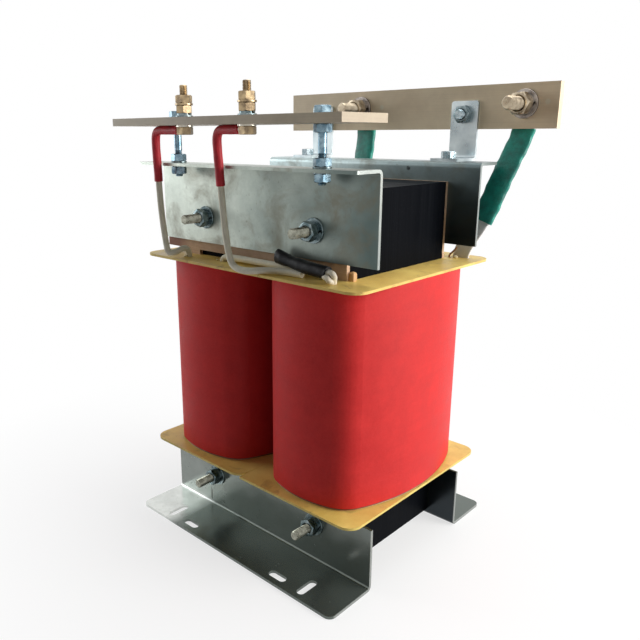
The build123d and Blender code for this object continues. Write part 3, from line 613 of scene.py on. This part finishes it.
def board_laminate(name, dark, pale):
    """Layered laminate, a little streaked, with two small pale marks on the rear board."""
    look = Look(name, pale, 0.42, specular=0.45)
    clouds = look.range(look.noise(24, 5, 0.65), 0.34, 0.7)
    layers = look.noise(1.0, 3, 0.6, stretch=(9, 30, 900))
    streak = tuple(0.76 * c for c in dark)
    base = look.mix(clouds, dark, pale)
    base = look.mix(look.math("MULTIPLY", look.range(layers, 0.4, 0.7), 0.2), base, streak)
    for x in (-10.5, 190.5):
        mark = look.math("MULTIPLY", look.spot((x, REAR_FACE, 470.0), 3.5), 0.5)
        base = look.mix(mark, base, (0.9, 0.85, 0.7))
    look.color(base)
    look.rough(look.range(clouds, 0, 1, 0.36, 0.52))
    look.bump(look.noise(420, 3, 0.6), 0.00006, 0.4)
    return look.material


def pressboard():
    look = Look("pressboard", (0.46, 0.26, 0.18), 0.6, specular=0.35)
    clouds = look.range(look.noise(40, 5, 0.65), 0.34, 0.7)
    fibre = look.noise(1.0, 4, 0.6, stretch=(60, 400, 900))
    red = look.range(look.height("X"), -0.131, -0.109, 1.0, 0.0)
    base = look.mix(clouds, (0.54, 0.35, 0.22), (0.70, 0.49, 0.33))
    fibres = look.math("MULTIPLY", look.range(fibre, 0.4, 0.7), 0.3)
    base = look.mix(fibres, base, (0.36, 0.20, 0.13))
    look.color(look.mix(look.math("MULTIPLY", red, 0.7), base, (0.20, 0.04, 0.03)))
    look.bump(fibre, 0.0002, 0.4)
    return look.material


def tube_paper():
    look = Look("tube_paper", (0.45, 0.38, 0.22), 0.6)
    look.color(look.mix(look.noise(90, 4), (0.36, 0.29, 0.16), (0.52, 0.44, 0.27)))
    return look.material


def winding():
    look = Look("winding", (0.32, 0.12, 0.05), 0.35, specular=0.5)
    turns = look.wave(140, "Z", 0.3, 2, 2)
    look.color(look.mix(turns, (0.16, 0.05, 0.02), (0.42, 0.18, 0.08)))
    look.bump(turns, 0.0006, 0.8)
    return look.material


def lead_cover():
    """Cream woven cover of the leads, a little soiled."""
    look = Look("lead_cover", (0.56, 0.49, 0.35), 0.62, specular=0.3)
    braid = look.cells(900, stretch=(1, 1, 0.55))
    soil = look.range(look.noise(70, 5, 0.65), 0.4, 0.75)
    base = look.mix(look.math("MULTIPLY", soil, 0.4), (0.95, 0.90, 0.74), (0.74, 0.66, 0.49))
    look.color(look.mix(look.math("MULTIPLY", braid, 0.2), base, (0.62, 0.55, 0.41)))
    look.bump(braid, 0.00025, 0.4)
    return look.material


def sleeve(name, dark, light, roughness, wrinkle, specular=0.45):
    look = Look(name, light, roughness, specular=specular)
    clouds = look.range(look.noise(90, 4, 0.6), 0.32, 0.7)
    look.color(look.mix(clouds, dark, light))
    look.bump(look.noise(260, 4, 0.6), wrinkle, 0.5)
    return look.material


def plain(name, color, roughness):
    look = Look(name, color, roughness)
    tint = tuple(0.78 * c for c in color)
    look.color(look.mix(look.noise(200, 3), tint, color))
    look.bump(look.noise(600, 3), 0.0001, 0.4)
    return look.material


# The pale and dull colours serve both the cloudy tone and the painted reflection between the X
# ends; on the feet the pale end is a near-white painted highlight
CLAMP_ENDS = (-0.17, 0.13)
CLAMP_ROUGHNESS = (0.30, 0.44)
FRONT_CLAMP = ((0.60, 0.65, 0.58), (0.085, 0.13, 0.125), CLAMP_ENDS, 1.0, 0.85, CLAMP_ROUGHNESS)
REAR_CLAMP = ((0.55, 0.66, 0.66), (0.10, 0.15, 0.16), CLAMP_ENDS, 1.0, 0.8, CLAMP_ROUGHNESS)
FOOT = ((0.95, 0.98, 0.94), (0.20, 0.23, 0.21), (-0.106, -0.082), 0.12, 0.16, (0.17, 0.28))

LOOKS = {
    "clamp_zinc": zinc_sheet("clamp_zinc", *FRONT_CLAMP),
    "fastener_zinc": zinc_fastener("fastener_zinc", (0.20, 0.27, 0.30), (0.50, 0.57, 0.60)),
    "core_lacquer": core_lacquer(),
    "coil_wrap_red": coil_wrap(),
    "flange_laminate": coil_flange(
        "flange_laminate", (0.72, 0.47, 0.12), (0.95, 0.72, 0.21), 1.0),
    "board_laminate": board_laminate("board_laminate", (0.46, 0.37, 0.26), (0.60, 0.50, 0.36)),
    "pressboard": pressboard(),
    "insulating_tube": tube_paper(),
    "winding_enamel": winding(),
    "brass": brass("brass_parts", (0.20, 0.145, 0.09), (0.50, 0.38, 0.22), 0.75),
    "tinned_lug": tinned(),
    "red_sleeve": sleeve(
        "red_sleeve", (0.42, 0.020, 0.030), (0.62, 0.035, 0.050), 0.5, 0.0004, 0.3),
    "green_sleeve": sleeve(
        "green_sleeve", (0.005, 0.13, 0.105), (0.008, 0.33, 0.25), 0.42, 0.0009),
    "black_sleeve": sleeve(
        "black_sleeve", (0.003, 0.003, 0.004), (0.008, 0.008, 0.010), 0.42, 0.0010, 0.16),
    "lead_cover": lead_cover(),
}

# Looks of pieces that differ in the photo from others of their slot
# The rear clamp and rear foot take painted shade on their inner faces
REAR_CLAMP_LOOK = zinc_sheet("rear_clamp_zinc", *REAR_CLAMP, (TOP_FACE - SHEET, 0.335, 0.412))
FOOT_LOOK = zinc_sheet("foot_zinc", *FOOT)
REAR_FOOT_LOOK = zinc_sheet("rear_foot_zinc", *FOOT, (BOTTOM_FACE - SHEET, 0.10, 0.12))
# Painted light: the rear board's laminate is lighter than the front board's, for the stronger
# light that falls on it
LIT_REAR_BOARD_LOOK = board_laminate("rear_board_laminate_lit", (0.80, 0.63, 0.43), (0.95, 0.78, 0.55))
LOWER_FLANGE_LOOK = coil_flange(
    "lower_flange_laminate", (0.70, 0.50, 0.11), (0.93, 0.74, 0.22), 0.6)
PEG_LOOK = plain("peg", (0.66, 0.38, 0.16), 0.5)
BOLT_ZINC = zinc_fastener("bolt_zinc", (0.09, 0.16, 0.21), (0.30, 0.41, 0.47))
DARK_ZINC = zinc_fastener("dark_zinc", (0.07, 0.11, 0.12), (0.28, 0.33, 0.34))
STUD_ZINC = zinc_fastener("stud_zinc", (0.14, 0.14, 0.11), (0.40, 0.40, 0.33))
CONDUCTOR_LOOK = plain("conductor_cover", (0.97, 0.96, 0.96), 0.6)
BRACKET_LOOK = zinc_bracket()
DULL_BRASS = brass("dull_brass", (0.30, 0.24, 0.17), (0.66, 0.57, 0.42), 0.4)
WASHER_BRASS = brass("washer_brass", (0.20, 0.18, 0.17), (0.52, 0.47, 0.42), 0.6)
TAIL_LOOK = plain("tail_cover", (0.95, 0.88, 0.74), 0.55)
GLUE_LOOK = plain("dried_varnish", (0.72, 0.60, 0.34), 0.25)
WIRE_LOOK = plain("tap_wire", (0.30, 0.13, 0.05), 0.35)

OWN_LOOKS = {
    "bottom_front_clamp": FOOT_LOOK,
    "bottom_rear_clamp": REAR_FOOT_LOOK,
    "top_rear_clamp": REAR_CLAMP_LOOK,
    "left_rear_bracket": BRACKET_LOOK,
    "right_rear_bracket": BRACKET_LOOK,
    "rear_terminal_board": LIT_REAR_BOARD_LOOK,
    "left_lower_coil_flange": LOWER_FLANGE_LOOK,
    "right_lower_coil_flange": LOWER_FLANGE_LOOK,
    "stud_spring_washers": DARK_ZINC,
    "front_terminal_spring_washers": DARK_ZINC,
    "rear_terminal_spring_washers": WASHER_BRASS,
}
for subpart in frame["record"]["subparts"]:
    name = subpart["node"]
    materials = nodes[name].data.materials
    materials.clear()
    materials.append(OWN_LOOKS.get(name, LOOKS[subpart["material_slot"]]))


# --- fasteners -------------------------------------------------------------------------------

def clamp_hardware():
    chance = random.Random(7)
    studs = Shape()
    nuts = Shape()
    washers = Shape()
    for z, face in ((BOTTOM_YOKE_Z, BOTTOM_FACE), (TOP_YOKE_Z, TOP_FACE)):
        for x in (-LIMB_X, LIMB_X):
            for place, y in ((front, -face), (rear, face)):
                turn = chance.uniform(0, TURN)
                here = place(x, y, z)
                turned = here @ Matrix.Rotation(turn, 4, "Z")
                add_thread(studs, M10, 2.0, STUD_PROJECTION, turned)
                add_shank(studs, M10.diameter - NUT_PLAY, -0.5 * face, 2.5, here)
                add_washer(washers, STUD_WASHER, here)
                add_nut(nuts, M10, turned @ Matrix.Translation((0, 0, STUD_NUT_SEAT)))
    for x in (-BRACKET_X, BRACKET_X):
        add_nut(nuts, M10, front(x, BRACKET_FACE, BRACKET_BOLT_Z, chance.uniform(0, TURN)))
    studs.piece("clamp_stud_ends", STUD_ZINC, "fastener_zinc", ["clamp_studs"])
    nuts.piece("stud_nuts_turned", DARK_ZINC, "fastener_zinc", ["stud_and_bracket_nuts"])
    washers.piece("stud_washers_turned", DARK_ZINC, "fastener_zinc", ["stud_flat_washers"])


def board_hardware():
    chance = random.Random(3)
    bolts = Shape()
    nuts = Shape()
    washers = Shape()
    nut = M8.nut_height
    below = FLANGE_TOP - SHEET
    bolt_end = BOARD_TOP - SUPPORT_BOLT_END
    for x in (-SUPPORT_X, SUPPORT_X):
        y = -BOLT_ROW_Y
        board = down(x, y, BOARD_TOP)
        add_head(bolts, M8, nut, up(x, y, BOARD_TOP, chance.uniform(0, 1)))
        add_shank(bolts, M8.diameter, 0, SMOOTH_SHANK, board)
        add_thread(bolts, M8, SMOOTH_SHANK - 0.5, bolt_end, board)
        for height in (BOARD_BOTTOM - nut, FLANGE_TOP + SMALL_WASHER, below - SMALL_WASHER - nut):
            add_nut(nuts, M8, up(x, y, height, chance.uniform(0, 1)))
        add_washer(washers, M8_WASHER, up(x, y, FLANGE_TOP))
        add_washer(washers, M8_WASHER, up(x, y, below - SMALL_WASHER))
    for x in (-BRACKET_X, BRACKET_X):
        add_nut(nuts, M8, up(x, BOLT_ROW_Y, below - nut, chance.uniform(0, 1)))
    for x in FRONT_TERMINALS:
        add_washer(washers, M8_WASHER, up(x, FRONT_TERMINAL_Y, BOARD_TOP))
    bolts.piece("support_bolts_threaded", BOLT_ZINC, "fastener_zinc", ["front_board_bolts"])
    nuts.piece("small_nuts_turned", BOLT_ZINC, "fastener_zinc", ["small_zinc_nuts"])
    washers.piece("small_washers_turned", DARK_ZINC, "fastener_zinc", ["small_flat_washers"])


def bracket_hardware():
    chance = random.Random(5)
    feet = Shape()
    boards = Shape()
    foot_top = FLANGE_TOP + SHEET
    zinc = LOOKS["fastener_zinc"]
    for x in (-BRACKET_X, BRACKET_X):
        foot = down(x, BOLT_ROW_Y, foot_top)
        board = front(x, REAR_BOARD_BACK, BRACKET_BOLT_Z)
        add_head(feet, M8, M8.nut_height, up(x, BOLT_ROW_Y, foot_top, chance.uniform(0, 1)))
        add_thread(feet, M8, 0, BRACKET_FOOT_BOLT_LENGTH, foot)
        head = rear(x, REAR_BOARD_BACK, BRACKET_BOLT_Z, chance.uniform(0, 1))
        add_head(boards, M10, BRACKET_HEAD_HEIGHT, head)
        add_thread(boards, M10, 0, BOARD_BOLT_LENGTH, board)
    feet.piece("bracket_foot_bolts_threaded", zinc, "fastener_zinc", ["bracket_foot_bolts"])
    boards.piece("bracket_board_bolts_threaded", zinc, "fastener_zinc", ["bracket_board_bolts"])


def front_terminals(chance):
    bolts = Shape()
    nuts = Shape()
    washers = Shape()
    lug_bottom = BOARD_BOTTOM - LUG_SHEET
    washer = BRASS_WASHER[2]
    seat = BOARD_TOP + SMALL_SEAT
    for x, (lower_turn, upper_turn) in zip(FRONT_TERMINALS, FRONT_NUT_TURNS):
        y = FRONT_TERMINAL_Y
        add_head(bolts, M8, M8.nut_height, down(x, y, lug_bottom, chance.uniform(0, 1)))
        add_thread(bolts, M8, 0, FRONT_STUD_TOP - lug_bottom, up(x, y, lug_bottom))
        add_nut(nuts, M8, up(x, y, seat, lower_turn))
        add_washer(washers, BRASS_WASHER, up(x, y, seat + M8.nut_height))
        add_nut(nuts, M8, up(x, y, seat + M8.nut_height + washer, upper_turn))
    look = LOOKS["brass"]
    bolts.piece("front_terminal_bolts_threaded", look, "brass", ["front_terminal_bolts"])
    nuts.piece("front_terminal_nuts_turned", look, "brass", ["front_terminal_nuts"])
    washers.piece("front_terminal_washers_turned", look, "brass", ["front_terminal_brass_washers"])


def rear_terminals(chance):
    bolts = Shape()
    nuts = Shape()
    washers = Shape()
    length = REAR_LUG_BACK - REAR_FACE + REAR_NUT_SEAT + M14.nut_height + REAR_STUD_END
    for x in REAR_TERMINALS:
        z = REAR_TERMINAL_Z
        head = rear(x, REAR_LUG_BACK, z, chance.uniform(0, 1))
        add_head(bolts, M14, REAR_HEAD_HEIGHT, head)
        add_thread(bolts, M14, 0, length, front(x, REAR_LUG_BACK, z), tip=1.4)
        add_washer(washers, REAR_WASHER, front(x, REAR_FACE, z))
        add_nut(nuts, M14, front(x, REAR_FACE - REAR_NUT_SEAT, z, chance.uniform(0, 1)))
    bolts.piece("rear_terminal_bolts_threaded", DULL_BRASS, "brass", ["rear_terminal_bolts"])
    nuts.piece("rear_terminal_nuts_turned", DULL_BRASS, "brass", ["rear_terminal_nuts"])
    washers.piece("rear_terminal_washers_turned", WASHER_BRASS, "brass",
                  ["rear_terminal_flat_washers"])


def terminal_hardware():
    chance = random.Random(11)
    front_terminals(chance)
    rear_terminals(chance)


# --- leads -----------------------------------------------------------------------------------

LEAD_ROUTES = {
    "left": [
        (-59.4, -132.3, LEAD_EXIT_Z),
        (-84.0, -129.5, LEAD_EXIT_Z),
        (-106.3, -127.0, LEAD_EXIT_Z),
        (-107.0, -126.0, 420.0),
        (-108.5, -123.0, 362.0),
        (-107.5, -119.0, 322.0),
        (-106.0, -117.5, 314.8),
        (-99.5, -112.0, 316.5),
        (-95.0, -105.0, 321.0),
        (-93.0, -99.5, 317.5),
        (-93.0, -99.5, COIL_FLANGE_BOTTOM + 0.3),
    ],
    "right": [
        (28.6, -132.1, LEAD_EXIT_Z),
        (12.0, -130.0, LEAD_EXIT_Z),
        (-10.2, -127.0, LEAD_EXIT_Z),
        (-9.7, -126.0, 420.0),
        (-8.0, -123.0, 366.0),
        (-3.5, -122.0, 328.0),
        (3.0, -121.8, 314.5),
        (20.0, -121.5, 312.5),
        (37.0, -113.0, 314.6),
        (52.0, -103.0, 314.6),
        (76.0, -101.5, 314.0),
    ],
}
JUMPER_ROUTE = [
    (-46.0, -92.0, COIL_FLANGE_BOTTOM + 0.3),
    (-46.0, -92.0, 313.5),
    (-38.0, -91.6, 316.0),
    (20.0, -92.0, 316.0),
    (80.0, -92.5, 316.0),
]
LEAD_SLEEVE_END = 391.3
LUG_BARREL_PAST_SLEEVE = 9.5
LEAD_STEP = 1.6
SMALL_STEP = 0.8
SLEEVE_WALL = 1.05


def round_section(radius, ripple=0.0, seed=0):
    chance = random.Random(seed)
    phases = [chance.uniform(0, TURN) for _ in range(3)]

    def section(share, angle):
        wobble = sum(math.sin((k + 2) * 9 * share + (k + 1) * angle + phase)
                     for k, phase in enumerate(phases))
        r = radius * (1 + ripple * wobble / 3)
        return r * math.cos(angle), r * math.sin(angle)
    return section


def leads():
    cover = LOOKS["lead_cover"]
    for number, (side, route) in enumerate(LEAD_ROUTES.items()):
        lead = f"front_{side}_lead"
        path = even_path(smooth_path(route), LEAD_STEP)
        tube = Shape()
        bare = path[round(LUG_BARREL_PAST_SLEEVE / LEAD_STEP):]
        add_tube(tube, bare, round_section(LEAD_RADIUS, 0.012, number))
        tube.piece(lead + "_cover", cover, "lead_cover", [lead])
        covered = [point for point in path if point.z > LEAD_SLEEVE_END]
        skin = Shape()
        add_tube(skin, covered, round_section(LEAD_RADIUS + SLEEVE_WALL, 0.03, number + 5))
        skin.piece(f"front_{side}_shrunk_sleeve", LOOKS["red_sleeve"], "red_sleeve",
                   [lead + "_sleeve"])
    tube = Shape()
    path = even_path(smooth_path(JUMPER_ROUTE), LEAD_STEP)
    add_tube(tube, path, round_section(LEAD_RADIUS, 0.012, 9))
    tube.piece("jumper_lead_cover", cover, "lead_cover", ["jumper_lead"])


SPLICE_ROUTE = [
    (40.5, -97.5, 326.8),
    (52.0, -98.3, 324.9),
    (70.0, -99.4, 322.1),
    (90.0, -100.4, 320.4),
    (106.5, -101.0, 319.6),
]
TAIL_EXIT = (112.0, -99.5, COIL_FLANGE_BOTTOM + 1.0)
TAIL_LOOPS = (
    [(105.0, -102.0, 319.0), (110.5, -103.0, 321.8), (114.5, -102.0, 319.0),
     (113.5, -100.5, 314.0), TAIL_EXIT],
    [(105.0, -104.0, 316.5), (109.0, -106.0, 317.0), (112.0, -105.5, 313.5),
     (112.5, -102.0, 312.8), TAIL_EXIT],
)
TAIL_RADIUS = 2.7


def splice():
    """Black shrunk sleeve, folded and a little flat at its left end, and the tail's two loops."""
    path = even_path(smooth_path(SPLICE_ROUTE), 1.2)

    def section(share, angle):
        folded = max(0.0, 1 - share / 0.12)
        waist = 1 - 0.12 * math.exp(-((share - 0.3) / 0.12) ** 2)
        radius = (6.5 - 0.5 * share) * waist
        ripple = 0.016 * math.sin(17 * share + 2 * angle) + 0.01 * math.sin(31 * share - angle)
        r = radius * (1 + ripple)
        across = r * math.cos(angle) * (1 + 0.12 * folded)
        rise = r * math.sin(angle) * (1 - 0.25 * folded)
        return across, rise

    skin = Shape()
    add_tube(skin, path, section, count=36, first_side=(0, 0, 1))
    skin.piece("splice_shrunk_sleeve", LOOKS["black_sleeve"], "black_sleeve",
               ["splice_sleeve"], sharp=60)

    tails = Shape()
    for route in TAIL_LOOPS:
        path = even_path(smooth_path(route), SMALL_STEP)
        add_tube(tails, path, round_section(TAIL_RADIUS, 0.08, 21), count=16)
    tails.piece("winding_tails", TAIL_LOOK, "lead_cover", ["winding_tail"])


REAR_ROUTES = {
    "left": [
        (-41.0, 146.25, 456.5),
        (-41.0, 146.25, 434.7),
        (-41.0, 136.25, 391.9),
        (-42.0, 116.25, 345.2),
        (-45.0, 90.0, 320.0),
        (-45.0, 90.0, COIL_FLANGE_BOTTOM + 0.3),
    ],
    "right": [
        (165.0, 146.25, 456.5),
        (162.5, 146.25, 438.7),
        (156.5, 133.25, 412.6),
        (149.0, 122.25, 381.9),
        (142.0, 111.25, 349.9),
        (126.0, 98.5, 319.0),
        (126.0, 98.5, COIL_FLANGE_BOTTOM + 0.3),
    ],
}
# Shares of the route where each rear sleeve starts and ends, and its half width
REAR_SLEEVE = {"left": (0.07, 0.78, 13.0), "right": (0.07, 0.715, 12.2)}
REAR_SLEEVE_HALF_DEPTH = 3.6
CONDUCTOR_HALF_WIDTH = 9.6
CONDUCTOR_HALF_DEPTH = 1.6


def flat_section(half_width, half_depth, crinkle, seed):
    chance = random.Random(seed)
    phases = [chance.uniform(0, TURN) for _ in range(4)]

    def section(share, angle):
        c, s = math.cos(angle), math.sin(angle)
        edge = abs(c) ** 3
        folds = math.sin(31 * share + phases[0] + 2 * angle)
        folds += 0.6 * math.sin(53 * share + phases[1] - angle)
        swell = 1 + crinkle * folds * (0.3 + edge)
        puff = 1 + crinkle * math.sin(40 * share + phases[2])
        across = math.copysign(abs(c) ** 0.5, c) * half_width * swell
        rise = math.copysign(abs(s) ** 0.6, s) * half_depth * puff
        return across, rise
    return section


def rear_conductors():
    for number, (side, route) in enumerate(REAR_ROUTES.items()):
        path = even_path(smooth_path(route), LEAD_STEP)
        section = flat_section(CONDUCTOR_HALF_WIDTH, CONDUCTOR_HALF_DEPTH, 0.01, number)
        strip = Shape()
        add_tube(strip, path, section, count=32)
        strip.piece(side + "_rear_conductor_cover", CONDUCTOR_LOOK, "lead_cover",
                    [side + "_rear_conductor"])
        low, high, half_width = REAR_SLEEVE[side]
        covered = path[round(low * len(path)):round(high * len(path))]
        section = flat_section(half_width, REAR_SLEEVE_HALF_DEPTH, 0.02, number + 3)
        skin = Shape()
        add_tube(skin, covered, section, count=40)
        skin.piece(side + "_rear_shrunk_sleeve", LOOKS["green_sleeve"], "green_sleeve",
                   [side + "_rear_sleeve"], sharp=60)


def add_blob(shape, centre, size, seed):
    """Rounded drop of varnish."""
    chance = random.Random(seed)
    phase = chance.uniform(0, TURN)
    rings = []
    for i in range(1, 12):
        polar = math.pi * i / 12
        ring = []
        for j in range(20):
            angle = TURN * j / 20
            uneven = 0.12 * math.sin(2 * angle + phase) + 0.07 * math.sin(3 * polar + angle)
            r = math.sin(polar) * (1 + uneven)
            ring.append((
                centre[0] + size[0] * r * math.cos(angle),
                centre[1] + size[1] * r * math.sin(angle),
                centre[2] + size[2] * math.cos(polar),
            ))
        rings.append(list(reversed(ring)))
    shape.rings(rings)


PEG_X = 117.2
PEG_Y = -78.4


def peg():
    """Small wooden peg, narrower than its packing block and rounded on top."""
    rings = []
    for height, half in ((0.0, 3.0), (6.2, 3.0), (7.6, 2.5), (8.4, 1.4), (8.6, 0.3)):
        ring = []
        for j in range(32):
            angle = TURN * j / 32
            c, s = math.cos(angle), math.sin(angle)
            across = math.copysign(abs(c) ** 0.45, c) * half
            depth = math.copysign(abs(s) ** 0.45, s) * half
            ring.append((PEG_X + across, PEG_Y + depth, COIL_FLANGE_TOP + height))
        rings.append(ring)
    shape = Shape()
    shape.rings(rings)
    shape.piece("rounded_peg", PEG_LOOK, "pressboard", ["packing_peg"], sharp=50)


TAP_WIRE_ROUTE = [
    (116.0, 91.5, COIL_FLANGE_BOTTOM + 0.3),
    (116.0, 91.5, 313.0),
    (120.0, 91.5, 316.0),
    (124.5, 91.5, 321.5),
]


def small_bits():
    """Three drops of varnish on the upper flanges and the bent end of the tap wire."""
    drops = Shape()
    add_blob(drops, (-93.5, -103.6, 311.2), (2.6, 2.0, 1.6), 1)
    add_blob(drops, (124.5, 90.0, 311.6), (2.6, 2.2, 1.6), 2)
    add_blob(drops, (-52.0, -94.5, 311.2), (1.8, 1.5, 1.0), 3)
    drops.piece("varnish_drops", GLUE_LOOK, "lead_cover")
    wire = Shape()
    path = even_path(smooth_path(TAP_WIRE_ROUTE), SMALL_STEP)
    add_tube(wire, path, round_section(1.0, 0.02, 4), count=14)
    wire.piece("tap_wire_bent", WIRE_LOOK, "winding_enamel", ["tap_wire_end"])


clamp_hardware()
board_hardware()
bracket_hardware()
terminal_hardware()
leads()
splice()
rear_conductors()
peg()
small_bits()


# --- floor, light and camera -----------------------------------------------------------------

def seen_directly(tree):
    """Share of 1 for rays that show a surface as such: from the camera, a reflection or glass."""
    rays = tree.nodes.new("ShaderNodeLightPath")
    share = rays.outputs["Is Camera Ray"]
    for kind in ("Is Glossy Ray", "Is Transmission Ray"):
        either = tree.nodes.new("ShaderNodeMath")
        either.operation = "MAXIMUM"
        tree.links.new(share, either.inputs[0])
        tree.links.new(rays.outputs[kind], either.inputs[1])
        share = either.outputs[0]
    return share


FLOOR_HALF_SIZE = 8.0
FLOOR_Z = -0.0005
SHADOW_NEAR = 0.15
SHADOW_FAR = 0.55


def add_floor():
    """White floor: it keeps the shadow near the object and fades to the background's white."""
    mesh = bpy.data.meshes.new("floor")
    far = FLOOR_HALF_SIZE
    corners = [(-far, -far, 0), (far, -far, 0), (far, far, 0), (-far, far, 0)]
    mesh.from_pydata(corners, [], [(0, 1, 2, 3)])
    floor = bpy.data.objects.new("floor", mesh)
    floor.location.z = FLOOR_Z
    bpy.context.scene.collection.objects.link(floor)
    look = Look("floor", (0.42, 0.42, 0.42), 0.9, specular=0.0)
    seen = seen_directly(look.tree)
    look.color(look.mix(seen, (0.40, 0.40, 0.40), (0.95, 0.95, 0.95)))
    away = look.tree.nodes.new("ShaderNodeVectorMath")
    away.operation = "LENGTH"
    look.link(look.place, away.inputs[0])
    fade = look.range(away.outputs["Value"], SHADOW_NEAR, SHADOW_FAR, 0.68, 1.0)
    share = look.math("MULTIPLY", seen, fade)
    white = look.tree.nodes.new("ShaderNodeEmission")
    white.inputs["Strength"].default_value = 1.0
    mix = look.tree.nodes.new("ShaderNodeMixShader")
    look.link(share, mix.inputs[0])
    look.link(look.shader.outputs[0], mix.inputs[1])
    look.link(white.outputs[0], mix.inputs[2])
    look.link(mix.outputs[0], look.tree.nodes["Material Output"].inputs["Surface"])
    mesh.materials.append(look.material)


def add_area(name, place, aim_z, size, power, color=(1, 1, 1)):
    """Rectangular lamp aimed at a height above the origin."""
    light = bpy.data.lights.new(name, "AREA")
    light.shape = "RECTANGLE"
    light.size, light.size_y = size
    light.energy = power
    light.color = color
    holder = bpy.data.objects.new(name, light)
    holder.location = place
    aim = Vector((0.0, 0.0, aim_z)) - Vector(place)
    holder.rotation_euler = aim.to_track_quat("-Z", "Y").to_euler()
    bpy.context.scene.collection.objects.link(holder)


def add_world():
    world = bpy.data.worlds.new("studio")
    world.use_nodes = True
    tree = world.node_tree
    ambient = tree.nodes["Background"]
    ambient.inputs["Color"].default_value = (0.90, 0.95, 1.0, 1)
    ambient.inputs["Strength"].default_value = 0.09
    white = tree.nodes.new("ShaderNodeBackground")
    white.inputs["Color"].default_value = (1, 1, 1, 1)
    white.inputs["Strength"].default_value = 1.0
    mix = tree.nodes.new("ShaderNodeMixShader")
    tree.links.new(seen_directly(tree), mix.inputs[0])
    tree.links.new(ambient.outputs[0], mix.inputs[1])
    tree.links.new(white.outputs[0], mix.inputs[2])
    tree.links.new(mix.outputs[0], tree.nodes["World Output"].inputs["Surface"])
    bpy.context.scene.world = world


def add_camera():
    """Camera fitted to the straight edges of the photo."""
    data = bpy.data.cameras.new("camera")
    data.lens = 37.6
    data.sensor_width = 36.0
    data.shift_x = 0.0575
    data.shift_y = -0.0009
    camera = bpy.data.objects.new("camera", data)
    right = Vector((0.72109, 0.69283, -0.00323))
    upward = Vector((-0.18254, 0.19448, 0.96377))
    back = Vector((0.66836, -0.69438, 0.26671))
    turn = Matrix((right, upward, back)).transposed()
    place = Matrix.Translation((0.48410, -0.55111, 0.43919))
    camera.matrix_world = place @ turn.to_4x4()
    bpy.context.scene.collection.objects.link(camera)
    bpy.context.scene.camera = camera


add_floor()
add_area("key_right", (1.55, 0.68, 0.7), 0.25, (1.0, 1.0), 35, (1.0, 0.985, 0.96))
add_area("window_left", (-1.6, -0.65, 0.8), 0.25, (0.9, 1.1), 12, (0.94, 0.98, 1.0))
add_area("overhead", (0.1, 0.5, 1.9), 0.3, (1.4, 1.4), 22)
add_world()
add_camera()
bpy.context.scene.view_settings.view_transform = "Standard"
